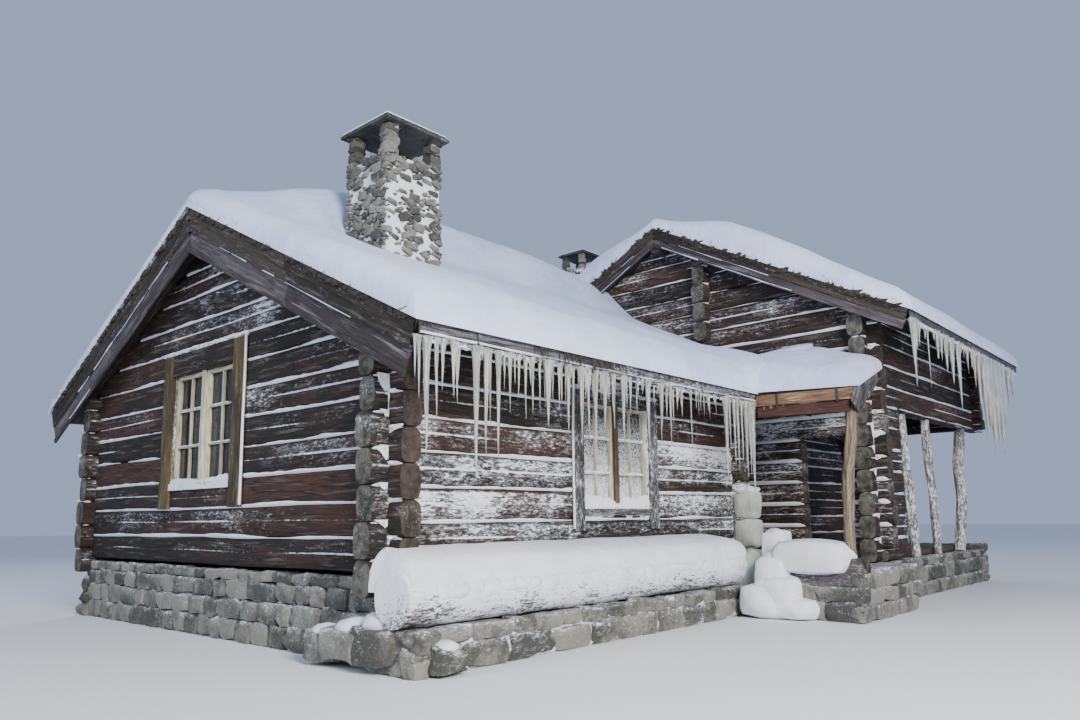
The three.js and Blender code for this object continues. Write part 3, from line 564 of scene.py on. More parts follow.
def powder(name, shade, light):
    material, tree = new_material(name, light)
    look = group_node(tree, "powder", Place=object_place(tree), Shade=shade, Light=light)
    finish_surface(tree, look.outputs["Color"], look.outputs["Height"], 0.72, 0.22, 0.02,
                   Subsurface_Weight=0.12, Subsurface_Radius=(0.03, 0.04, 0.055), Subsurface_Scale=0.5,
                   Specular_IOR_Level=0.25)
    return material


def ice(name, tint):
    material, tree = new_material(name, tint)
    place = object_place(tree)
    ripples = cloud(tree, stretched(tree, place, (26.0, 26.0, 34.0)), 1.0, 3.0)
    streaks = cloud(tree, stretched(tree, place, (60.0, 60.0, 1.6)), 1.0, 4.0, 0.6)
    colour = mix(tree, ease(tree, streaks, 0.38, 0.6), tuple(0.5 * part for part in tint), tint)
    finish_surface(tree, colour, ripples, 0.16, 0.35, 0.01, Transmission_Weight=0.6, IOR=1.31,
                   Coat_Weight=0.4, Coat_Roughness=0.12)
    return material


def pane_glass(name, tint):
    material, tree = new_material(name, tint)
    ripples = cloud(tree, object_place(tree), 3.0, 2.0)
    colour = mix(tree, ripples, tuple(0.9 * part for part in tint), tint)
    finish_surface(tree, colour, ripples, 0.04, 0.05, 0.01, Transmission_Weight=0.9, IOR=1.45)
    return material


def frost_crust(name):
    """Frost on panes: crackled and half clear where the drift is low, closed where it is high."""
    material, tree = new_material(name, (0.7, 0.75, 0.8))
    place = object_place(tree)
    needles = cloud(tree, stretched(tree, place, (40.0, 40.0, 30.0)), 1.0, 5.0, 0.78)
    veins = ease(tree, cell_edges(tree, stretched(tree, place, (52.0, 52.0, 38.0)), 1.0), 0.0, 0.14, 0.3, 0.0)
    level = blend(tree, (needles, 1.0), (veins, 1.0), (attribute(tree, "drift", "Fac"), 1.0))
    colour = mix(tree, ease(tree, level, 0.75, 1.25), (0.3, 0.34, 0.37), (0.76, 0.81, 0.86))
    finish_surface(tree, colour, level, 0.6, 0.4, 0.004, Alpha=ease(tree, level, 0.6, 0.84))
    return material


def plain_rough(name, dark, light, scale, roughness, bump=0.5):
    """Turf, iron and dry grass: a mottled surface on object coordinates."""
    material, tree = new_material(name, light)
    mottle = cloud(tree, object_place(tree), scale, 6.0, 0.65)
    finish_surface(tree, mix(tree, ease(tree, mottle, 0.35, 0.65), dark, light), mottle, roughness, bump,
                   0.008)
    return material


class ChaletColours(bpy.types.PropertyGroup):
    """Colours of the chalet's main finishes"""

    log_dark: bpy.props.FloatVectorProperty(
        name="Log shadow", description="Darkest tone of the old hewn logs", subtype="COLOR", min=0.0, max=1.0,
        default=(0.017, 0.014, 0.013))
    log_warm: bpy.props.FloatVectorProperty(
        name="Log warm tone", description="Red-brown tone where the tar has worn", subtype="COLOR", min=0.0,
        max=1.0, default=(0.07, 0.031, 0.021))
    log_silver: bpy.props.FloatVectorProperty(
        name="Log silver", description="Silvered streaks on the logs", subtype="COLOR", min=0.0, max=1.0,
        default=(0.13, 0.115, 0.105))
    board: bpy.props.FloatVectorProperty(
        name="Weathered board", description="Verge, eave and roof boards", subtype="COLOR", min=0.0, max=1.0,
        default=(0.118, 0.104, 0.114))
    # The strong blue of both snow colours is painted blue sky shade on the roof snow.
    snow_light: bpy.props.FloatVectorProperty(
        name="Snow light", description="Lit snow", subtype="COLOR", min=0.0, max=1.0,
        default=(0.62, 0.7, 0.9))
    snow_shade: bpy.props.FloatVectorProperty(
        name="Snow shade", description="Blue hollows in the snow", subtype="COLOR", min=0.0, max=1.0,
        default=(0.465, 0.555, 0.815))
    ice_tint: bpy.props.FloatVectorProperty(
        name="Ice", description="Milky ice of the icicles", subtype="COLOR", min=0.0, max=1.0,
        default=(0.76, 0.79, 0.74))
    stone_light: bpy.props.FloatVectorProperty(
        name="Stone", description="Light tone of the rubble", subtype="COLOR", min=0.0, max=1.0,
        default=(0.2, 0.197, 0.175))


class ChaletSizes(bpy.types.PropertyGroup):
    """Sizes that a user would change"""

    check_depth: bpy.props.FloatProperty(
        name="Drying crack", description="Depth of the long crack in each log", default=0.012, min=0.0,
        max=0.03, unit="LENGTH")
    ledge_snow: bpy.props.FloatProperty(
        name="Ledge snow", description="Thickness of the snow on each course", default=0.04, min=0.005,
        max=0.05, unit="LENGTH")
    snow_roll: bpy.props.FloatProperty(
        name="Snow unevenness", description="Height of the soft rolls in the roof snow", default=0.022,
        min=0.0, max=0.08, unit="LENGTH")
    small_icicles: bpy.props.IntProperty(
        name="Small icicles", description="Short icicles between the long ones of the front eave", default=70,
        min=0, max=300)
    tuft_length: bpy.props.FloatProperty(
        name="Grass tufts", description="Length of the dry grass along the roof edges", default=0.06,
        min=0.01, max=0.15, unit="LENGTH")


MATERIALS = {}


def make_materials(colours):
    """Build the node groups and every finish of the house."""
    GROUPS.update({"wood": weathered_wood_group(), "end": end_grain_group(), "cling": clinging_snow_group(),
                   "powder": powder_group(), "stone": stone_group()})
    logs = (tuple(colours.log_dark), tuple(colours.log_warm), tuple(colours.log_silver))
    board = tuple(colours.board)
    board_dark = tuple(0.35 * part for part in board)
    board_silver = tuple(min(1.9 * part, 1.0) for part in board)
    light = tuple(colours.stone_light)
    MATERIALS.update({
        "log": wood("Hewn log", *logs, 0.9),
        "log_end": wood("Log end", (0.013, 0.011, 0.009), logs[1], (0.062, 0.047, 0.038), ends=True),
        "mossy_end": wood("Mossy log end", (0.019, 0.02, 0.016), logs[1], (0.115, 0.114, 0.097), ends=True),
        "board": wood("Weathered board", board_dark, board, board_silver, 0.5),
        "eave": wood("Silver board", (0.055, 0.056, 0.063), (0.12, 0.122, 0.138), (0.26, 0.27, 0.29), 0.9),
        "deck": wood("Roof board", (0.022, 0.019, 0.016), (0.062, 0.049, 0.038), (0.115, 0.102, 0.088), 0.4),
        "olive": wood("Olive casing", (0.045, 0.033, 0.016), (0.15, 0.108, 0.05), (0.23, 0.19, 0.12), 0.4),
        "grey": wood("Grey casing", (0.03, 0.031, 0.03), (0.085, 0.088, 0.085), (0.17, 0.175, 0.17), 0.4),
        "cream": wood("Cream paint", (0.5, 0.47, 0.34), (0.74, 0.71, 0.55), (0.82, 0.8, 0.68), 0.12),
        "mullion": wood("Tan mullion", (0.055, 0.034, 0.02), (0.125, 0.08, 0.05), (0.2, 0.15, 0.11), 0.3),
        "fresh": wood("Fresh board", (0.2, 0.12, 0.07), (0.44, 0.275, 0.155), (0.54, 0.4, 0.27), 0.25),
        "ochre": wood("Red board", (0.036, 0.014, 0.011), (0.08, 0.03, 0.022), (0.13, 0.075, 0.06), 0.3),
        "pole": wood("Pale pole", (0.1, 0.078, 0.06), (0.25, 0.19, 0.138), (0.38, 0.33, 0.27), 0.7),
        "stone": stone("Rubble stone", (0.046, 0.048, 0.043), light, 0.0),
        "mortar": stone("Snowed mortar", (0.15, 0.15, 0.143), (0.36, 0.365, 0.36), 0.2),
        # Dark slate for the cap slabs; on the chimney piers away from the near corner it is painted shade.
        "slate": stone("Dark slate and painted pier shade", (0.018, 0.02, 0.018), (0.075, 0.078, 0.066), 0.0),
        # Roof snow: its strong blue is painted blue sky shade.
        "snow": powder("Powder snow", tuple(colours.snow_shade), tuple(colours.snow_light)),
        "ice": ice("Milky ice", tuple(colours.ice_tint)),
        # The dark navy tint of the panes is painted shade: it darkens the room seen through them.
        "glass": pane_glass("Window glass", (0.14, 0.16, 0.185)),
        "frost": frost_crust("Pane frost"),
        # A less blue copy of the roof snow for walls, ledges and low places: painted warm light.
        "less_blue_snow": powder("Less blue snow", (0.62, 0.67, 0.76), (0.8, 0.84, 0.9)),
        "crust": powder("Ice crust", (0.24, 0.265, 0.245), (0.5, 0.535, 0.5)),
        "turf": plain_rough("Turf", (0.014, 0.012, 0.009), (0.05, 0.042, 0.028), 22.0, 0.95, 1.0),
        "grass": plain_rough("Dry grass", (0.024, 0.021, 0.017), (0.1, 0.088, 0.068), 60.0, 0.85),
        "iron": plain_rough("Black iron", (0.012, 0.012, 0.013), (0.04, 0.037, 0.035), 40.0, 0.55),
        "floor": wood("Floor board", (0.1, 0.07, 0.045), (0.25, 0.17, 0.11), (0.33, 0.26, 0.18), 0.3),
    })


def keep(obj, materials, replaced=(), smooth=38.0):
    """Finish a piece: place, materials, shading, and what it stands for."""
    obj.data.transform(Matrix.Translation(SHIFT))
    low, high = CAD_BOX
    for vertex in obj.data.vertices:
        vertex.co = [min(max(value, a), b) for value, a, b in zip(vertex.co, low, high)]
    for name in materials:
        obj.data.materials.append(MATERIALS[name])
    activate(obj)
    bpy.ops.object.shade_smooth_by_angle(angle=math.radians(smooth))
    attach(obj, "root")
    if replaced:
        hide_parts(*replaced)


# Log walls
Wall = namedtuple("Wall", "node run ends faces heights line openings stubs outward roof drift")


def hole(opening):
    """The gap in a wall round a window and its lining."""
    return Opening(opening.low - LINING, opening.high + LINING, opening.bottom - LINING, opening.top + LINING)


def door(low, high, top):
    return Opening(low, high, -0.5, top)


DEEP = -2.0
WALLS = [
    Wall("front_wall", "x", (-STUB, 5.53 + STUB), (0.0, LOG), (SILL, 1.83), 0.0, [hole(FRONT_WINDOW)],
         (True, True), -1, FRONT, 0.02),
    Wall("window_gable_wall", "y", (-STUB, 5.9 + STUB), (0.0, LOG), (-0.12, 3.33), GABLE_LINE,
         [hole(GABLE_WINDOW)], (True, True), -1, FRONT, -0.15),
    Wall("back_wall", "x", (-STUB, 5.53 + STUB), (5.71, 5.9), (SILL, 1.83), 0.0, [hole(BACK_WINDOW)],
         (True, True), 1, FRONT, 0.0),
    Wall("end_wall", "y", (-STUB, 5.9 + STUB), (5.34, 5.53), (-0.12, 3.33), GABLE_LINE,
         [door(1.2, 2.0, 1.65)], (True, True), 1, FRONT, 0.05),
    Wall("rear_west_wall", "y", (-1.4 - STUB, 4.5 + STUB), (6.4, 6.59), (-0.12, 4.44), GABLE_LINE,
         [door(2.2, 3.0, 1.65), door(-1.05, -0.45, 1.28)], (True, True), -1, REAR, 0.08),
    Wall("rear_east_wall", "y", (-1.4 - STUB, 4.5 + STUB), (11.01, 11.2), (-0.12, 4.44), GABLE_LINE,
         [hole(EAST_WINDOW), door(-1.9, 0.665, 1.66)], (True, True), 1, REAR, 0.0),
    Wall("rear_north_wall", "x", (6.59, 11.2 + STUB), (4.31, 4.5), (SILL, 2.85), 0.0, [],
         (False, True), 1, REAR, 0.0),
    Wall("rear_body_wall", "x", (6.4 - STUB, 11.2 + STUB), (0.81, 1.0), (-0.2, 4.15), 0.0,
         [door(8.3, 9.1, 1.65), Opening(6.0, 6.59, DEEP, 2.8), Opening(11.01, 11.6, DEEP, 2.8)],
         (True, True), -1, REAR, -0.05),
    Wall("gallery_wall", "x", (6.4 - STUB, 11.2 + 0.4), (-1.4, -1.21), (SILL, 2.95), 0.0,
         [Opening(7.4, 11.9, DEEP, 1.66), Opening(11.2 + STUB, 11.9, 2.5, 4.0)],
         (True, True), -1, REAR, -0.05),
    Wall("link_back_wall", "x", (5.53, 6.4), (4.11, 4.3), (-0.285, 2.76), 0.0, [],
         (False, False), 1, FRONT, 0.05),
]


def wall_logs(wall):
    """Every length of log in a wall, split at its openings: low, high, bottom, top and its two stubs."""
    start, end = wall.ends
    low, high = wall.heights
    step = math.floor((low - wall.line) / COURSE)
    course = wall.line + step * COURSE
    while course < high - 0.03:
        bottom, top = max(course, low), min(course + COURSE, high)
        course += COURSE
        if top - bottom < 0.03:
            continue
        lengths = [(start, end, bottom, top, wall.stubs[0], wall.stubs[1])]
        for gap in wall.openings:
            rest = []
            for a, b, z0, z1, first, last in lengths:
                if gap.top <= z0 or gap.bottom >= z1 or gap.high <= a or gap.low >= b:
                    rest.append((a, b, z0, z1, first, last))
                    continue
                if gap.low > a + 0.02:
                    rest.append((a, gap.low, z0, z1, first, False))
                if gap.high < b - 0.02:
                    rest.append((gap.high, b, z0, z1, False, last))
                if gap.bottom > z0 + 0.02:
                    rest.append((max(a, gap.low), min(b, gap.high), z0, gap.bottom, False, False))
                if gap.top < z1 - 0.02:
                    rest.append((max(a, gap.low), min(b, gap.high), gap.top, z1, False, False))
            lengths = rest
        yield from lengths


def run_point(run, along, across, height):
    """A place on a wall that runs along X or along Y."""
    return Vector((along, across, height) if run == "x" else (across, along, height))


PACKED_EDGE = 0.3
# Where the wind has packed snow on a wall: its run, its heights and the amount
PACKED = {
    "front_wall": ((0.1, 2.3, 0.28, 0.53, 0.26), (0.3, 2.3, 0.56, 0.82, 0.16), (0.3, 2.3, 0.84, 1.1, 0.08),
                   (0.3, 5.3, 0.1, 0.28, 0.12), (3.6, 5.4, 0.28, 0.54, 0.27), (3.6, 5.4, 0.68, 0.82, 0.2),
                   (3.6, 5.4, 0.84, 1.1, 0.2), (5.6, 6.0, -0.3, 1.7, 0.6), (-0.1, 5.3, -0.28, 0.0, -0.12)),
    "window_gable_wall": ((1.9, 3.7, 2.12, 2.66, 0.3), (4.2, 5.2, 1.3, 1.8, 0.12)),
    "end_wall": ((-0.3, 0.0, -0.3, 1.7, 0.15),),
}


def packed_snow(wall, along, height):
    """How much packed snow the wind has left at a place on a wall."""
    total = 0.0
    for low, high, bottom, top, amount in PACKED.get(wall.node, ()):
        if bottom < height < top:
            starts = between(along, low - PACKED_EDGE, low, 0.0, 1.0)
            total += amount * starts * between(along, high, high + PACKED_EDGE, 1.0, 0.0)
    return total


def hewn_drift(wall, seed, up, along, height):
    """How much snow clings to a log: more on its upper half, in long uneven stretches."""
    stretch = waver(along * 0.55, seed * 3.7, 2.0)
    course_share = waver(seed * 1.9, 4.0, 0.5)
    level = up / (0.5 * COURSE)
    rise = 0.12 * level - 0.45 * max(level - 0.66, 0.0) / 0.34
    return wall.drift + rise + 0.3 * stretch + 0.2 * course_share + packed_snow(wall, along, height)


# The eased edge round a log's end: its depth, and the end's share of the girth
END_STEP, END_TRIM = 0.018, 0.965
CRACK_DEEPEST = 0.02


def lay_log(pile, pattern, wall, length, number, crack):
    """One log of a wall: its ends swell past the corners, and a drying crack runs along both faces."""
    start, end, bottom, top, first_stub, last_stub = length
    rings = pattern.rings
    span = end - start
    middle = 0.5 * (bottom + top)
    centre = 0.5 * (wall.faces[0] + wall.faces[1])
    height_share = (top - bottom) / COURSE
    turn = 1.0 if wall.run == "x" else -1.0
    draw = random.Random(number)
    push = draw.uniform(-0.007, 0.004)
    longer = [draw.uniform(-0.03, 0.03) if stub else 0.0 for stub in (first_stub, last_stub)]

    def shape(point):
        ring = round((point.x + 0.5) * rings)
        if ring <= 1:
            along = start - longer[0] + END_STEP * ring
        elif ring >= rings - 1:
            along = end + longer[1] - END_STEP * (rings - ring)
        else:
            along = start + span * ring / rings
        trim = END_TRIM if ring in (0, rings) else 1.0
        across, up = point.y, point.z
        near_first = first_stub and along < start + STUB - 0.01
        near_last = last_stub and along > end - STUB + 0.01
        if near_first or near_last:
            reach = math.hypot(across / (0.5 * LOG), up / (0.5 * COURSE))
            oval = 0.5 + 0.5 * (1.12 / reach if reach > 1e-6 else 1.0)
            across, up = across * oval, up * oval
        filled = 0.0
        if abs(point.z) < 1e-4 and abs(point.y) > 0.45 * LOG and 0 < ring < rings:
            open_part = max(waver(along * 0.8, number * 2.3, 0.0) + 0.2, 0.0)
            across -= math.copysign(min(crack * 2.0 * open_part, CRACK_DEEPEST), across)
            filled = 1.3 * open_part
        across *= trim
        up *= trim * height_share
        wave = waver(along * 0.7, wall.faces[0], (middle + up) * 3.3) * 0.012
        swell = waver(along * 1.4, number * 1.1, up * 4.0) * 0.008
        across += math.copysign(swell + push, across) if abs(point.y) > 0.2 * LOG else 0.0
        height = middle + up + (wave if trim == 1.0 else 0.0)
        place = run_point(wall.run, along, centre + turn * across, height)
        drift = hewn_drift(wall, number, up, along, middle + up) + filled
        drift -= 0.04 if near_first or near_last else 0.0
        return place, (along + number * 7.7, across, up), drift

    pile.add(pattern, shape, 0, 1)


def trim_under_roof(obj, wing):
    """Cut the wall off just under the two slopes of its roof."""
    activate(obj)
    bpy.ops.object.mode_set(mode="EDIT")
    top = Vector((0.0, wing.ridge_y, wing.ridge_z - ROOF - 0.002))
    for side in (-1.0, 1.0):
        bpy.ops.mesh.select_all(action="SELECT")
        normal = Vector((0.0, side * wing.slope, 1.0)).normalized()
        bpy.ops.mesh.bisect(plane_co=top, plane_no=normal, use_fill=True, clear_outer=True)
    bpy.ops.object.mode_set(mode="OBJECT")


class CHALET_OT_log_walls(bpy.types.Operator):
    """Model every log of the walls, notched past each other at the corners"""
    bl_idname = "chalet.log_walls"
    bl_label = "Log walls"

    def execute(self, context):
        crack = context.scene.chalet_sizes.check_depth
        long_log, short_log = log_pattern(40), log_pattern(14)
        number = 0
        for wall in WALLS:
            pile = Pile()
            for length in wall_logs(wall):
                number += 1
                pattern = long_log if length[1] - length[0] > 2.6 else short_log
                lay_log(pile, pattern, wall, length, number, crack)
            obj = pile.make(wall.node + "_logs")
            trim_under_roof(obj, wall.roof)
            keep(obj, ["log", "mossy_end" if wall.run == "x" else "log_end"], [wall.node])
        return {"FINISHED"}


class CHALET_OT_ledge_snow(bpy.types.Operator):
    """Lay a thin line of snow on the ledge of each log course, and pats of snow on the log heads"""
    bl_idname = "chalet.ledge_snow"
    bl_label = "Snow on the log courses"

    def execute(self, context):
        thick = context.scene.chalet_sizes.ledge_snow
        bead = round_pattern(6, 40)
        lumps = lump_patterns(4)
        number = 500
        for wall in WALLS:
            if wall.node == "link_back_wall":
                continue
            pile = Pile()
            face = wall.faces[0] if wall.outward < 0 else wall.faces[1]
            for start, end, _, top, first_stub, last_stub in wall_logs(wall):
                number += 1
                if end - start < 0.25 or top > wall.heights[1] - 0.02:
                    continue
                courses = (top - wall.line) / COURSE
                if abs(courses - round(courses)) > 0.02:
                    continue
                limit = self.room_under_roof(wall, top)
                low, high = max(start, limit[0]), min(end, limit[1])
                if high - low < 0.2:
                    continue
                self.lay_bead(pile, bead, wall, (low + 0.01, high - 0.01), top, face, thick, number)
                for stub, at, sign in ((first_stub, start, 1.0), (last_stub, end, -1.0)):
                    if stub and low <= start + 0.05 and high >= end - 0.05 or stub and wall.run == "x":
                        self.cap_head(pile, lumps, wall, at + sign * 0.5 * STUB, top, number)
            if pile.points:
                keep(pile.make(wall.node + "_ledge_snow"), ["less_blue_snow"])
        self.corner_plaster(lumps)
        return {"FINISHED"}

    @staticmethod
    def corner_plaster(lumps):
        """Snow blown into the angle between the two rows of log ends, running down from each ledge."""
        scrap = Pattern(start_cube((1.0, 1.0, 1.0), 3))
        pile = Pile()
        draw = random.Random(41)
        corners = ((FRONT.x0, FRONT.y0, -1, -1, 1.75), (FRONT.x1, FRONT.y0, 1, -1, 1.4),
                   (FRONT.x0, FRONT.y1, -1, 1, 1.75), (REAR.x0, REAR.y0, -1, -1, 2.5))
        for x, y, side_x, side_y, top in corners:
            run_x, run_y = Vector((side_x, 0.0, 0.0)), Vector((0.0, side_y, 0.0))
            for course in range(round(2.0 * top / COURSE)):
                across = course % 2 == 0
                ledge = 0.5 * course * COURSE + (0.0 if across else GABLE_LINE - 0.5 * COURSE)
                run, out = (run_x, run_y) if across else (run_y, run_x)
                wide = draw.uniform(0.5, 1.0) * STUB
                tall = draw.choice((0.05, 0.09, 0.16, 0.24) if across else (0.02, 0.03, 0.06))
                CHALET_OT_ledge_snow.smear(pile, scrap, Vector((x, y, ledge)), run, out, wide, tall,
                                           draw.random() * 40.0)
                if draw.random() < 0.4:
                    spot = Vector((x, y, ledge)) + run * (0.4 * wide)
                    heap(pile, draw.choice(lumps), spot, (0.06, 0.05, 0.03), seed=ledge, rough=0.5)
        keep(pile.make("corner_snow"), ["less_blue_snow"], smooth=60.0)

    @staticmethod
    def smear(pile, pattern, corner, run, out, wide, tall, seed):
        """A ragged patch that starts along a ledge and narrows towards the inner angle below it."""

        def shape(point):
            off, down = point.x + 0.5, 0.5 - point.z
            ragged = waver(off * 2.4, down * 3.0, seed)
            reach = max(wide * (1.0 - 0.8 * down ** 1.3) * (1.0 + 0.6 * ragged), 0.01)
            drop = tall * (1.0 + 0.7 * waver(off * 4.0, seed, 0.0))
            proud = 0.004 + (0.5 + point.y) * (0.013 - 0.008 * down)
            return corner + run * (off * reach - 0.002) + out * (proud - 0.007) + UP * (0.014 - down * drop)

        pile.add(pattern, shape)

    @staticmethod
    def room_under_roof(wall, height):
        """How far a course reaches before it meets the roof."""
        if wall.run == "x":
            return wall.ends
        reach = (wall.roof.ridge_z - ROOF - height - 0.05) / wall.roof.slope
        return wall.roof.ridge_y - reach, wall.roof.ridge_y + reach

    @staticmethod
    def lay_bead(pile, pattern, wall, ends, height, face, thick, number):
        """The uneven line of snow along the ledge of one course."""
        start, end = ends
        amount = 0.88 + 0.7 * wall.drift
        if wall.node == "rear_west_wall":
            amount += between(height, 2.5, 3.3, 0.55, -0.45)
        amount += 0.35 * waver(number * 1.7, 0.0, 0.0)

        def shape(point):
            along = start + (end - start) * (point.x + 0.5)
            swell = waver(along * 1.7, number * 2.1, 0.0)
            fine = waver(along * 9.0, number * 1.3, 4.0)
            size = max(amount + 0.75 * swell + 0.35 * fine, 0.12)
            ending = min(along - start, end - along)
            size *= min(1.0, 0.2 + ending / 0.06)
            depth = 0.03 * min(size, 1.25)
            wave = waver(along * 0.7, wall.faces[0], height * 3.3) * 0.012
            across = face - wall.outward * (0.026 + depth * point.y * wall.outward)
            lift = thick * 0.5 * size * (point.z + 0.55)
            return run_point(wall.run, along, across, height - 0.012 + wave + lift)

        pile.add(pattern, shape)

    @staticmethod
    def cap_head(pile, lumps, wall, at, height, number):
        """A pat of snow on top of a log end."""
        draw = random.Random(number)
        pattern = draw.choice(lumps)
        centre = 0.5 * (wall.faces[0] + wall.faces[1])
        size = Vector((draw.uniform(0.09, 0.14), draw.uniform(0.11, 0.16), draw.uniform(0.02, 0.036)))
        slide = draw.uniform(-0.02, 0.02)
        pile.add(pattern, lambda point: run_point(
            wall.run, at + point.x * size.x, centre + slide + point.y * size.y,
            height - 0.006 + point.z * size.z))


# Boards and beams
def lay_board(pile, pattern, start, end, wide, width, thick, finish=0, drift=-0.4, bow=0.003, seed=0,
              end_finish=None):
    """A board from start to end; wide is the direction of its width."""
    start, end = Vector(start), Vector(end)
    run = (end - start).normalized()
    wide = (Vector(wide) - run * Vector(wide).dot(run)).normalized()
    deep = run.cross(wide)
    length = (end - start).length

    def shape(point):
        share = point.x + 0.5
        along, across, proud = share * length, point.y * width, point.z * thick
        bend = waver(along * 0.8, seed * 3.3, 0.0) * bow
        edge = waver(along * 1.9, seed * 1.7, point.y * 3.0) * bow
        place = start + run * along + wide * (across + edge) + deep * (proud + bend)
        value = drift(place) if callable(drift) else drift
        return place, (along + seed * 5.3, across, proud + seed * 0.37), value

    pile.add(pattern, shape, finish, end_finish)


def lay_round(pile, pattern, points, radius, finish=0, drift=-0.4, seed=0, end_finish=None, rough=0.08):
    """A round timber through a few points, with a slightly uneven girth."""
    points = [Vector(point) for point in points]
    lengths = [(b - a).length for a, b in zip(points, points[1:])]
    total = sum(lengths)

    def spot(distance):
        index = 0
        while index < len(lengths) - 1 and distance > lengths[index]:
            distance -= lengths[index]
            index += 1
        return points[index].lerp(points[index + 1], min(distance / lengths[index], 1.0))

    def smooth_spot(distance):
        near = 0.12 * total / max(len(lengths), 1)
        parts = [spot(min(max(distance + offset, 0.0), total)) for offset in (-near, 0.0, near)]
        if distance < 1e-6 or distance > total - 1e-6 or len(lengths) == 1:
            return parts[1]
        return (parts[0] + parts[1] * 2.0 + parts[2]) / 4.0

    def shape(point):
        share = point.x + 0.5
        distance = share * total
        here = smooth_spot(distance)
        ahead = spot(min(distance + 0.02, total)) - spot(max(distance - 0.02, 0.0))
        run = ahead.normalized()
        side = run.cross(UP if abs(run.z) < 0.9 else NORTH).normalized()
        other = side.cross(run)
        angle = math.atan2(point.z, point.y)
        bulge = 1.0 + rough * waver(distance * 3.0, math.cos(angle) * 1.2 + seed, math.sin(angle) * 1.2)
        size = radius * bulge * math.hypot(point.y, point.z)
        across, up = math.cos(angle) * size, math.sin(angle) * size
        place = here + side * across - other * up
        value = drift(place) if callable(drift) else drift
        return place, (distance + seed * 3.1, across, up), value

    pile.add(pattern, shape, finish, end_finish)


PANE_ROWS = 3
LINING_DEPTH = -0.085
# Name, opening, the wall's run and outer face, the way out, widths of the side, head and foot boards,
# paint and the height of the snow on the sill
WINDOWS = (
    ("gable_window", GABLE_WINDOW, "y", 0.0, -1, 0.225, 0.25, 0.26, "olive", 0.085),
    ("front_window", FRONT_WINDOW, "x", 0.0, -1, 0.16, 0.13, 0.21, "grey", 0.2),
    ("back_window", BACK_WINDOW, "x", 5.9, 1, 0.16, 0.13, 0.21, "grey", 0.1),
    ("east_window", EAST_WINDOW, "y", 11.2, 1, 0.225, 0.25, 0.26, "olive", 0.085))


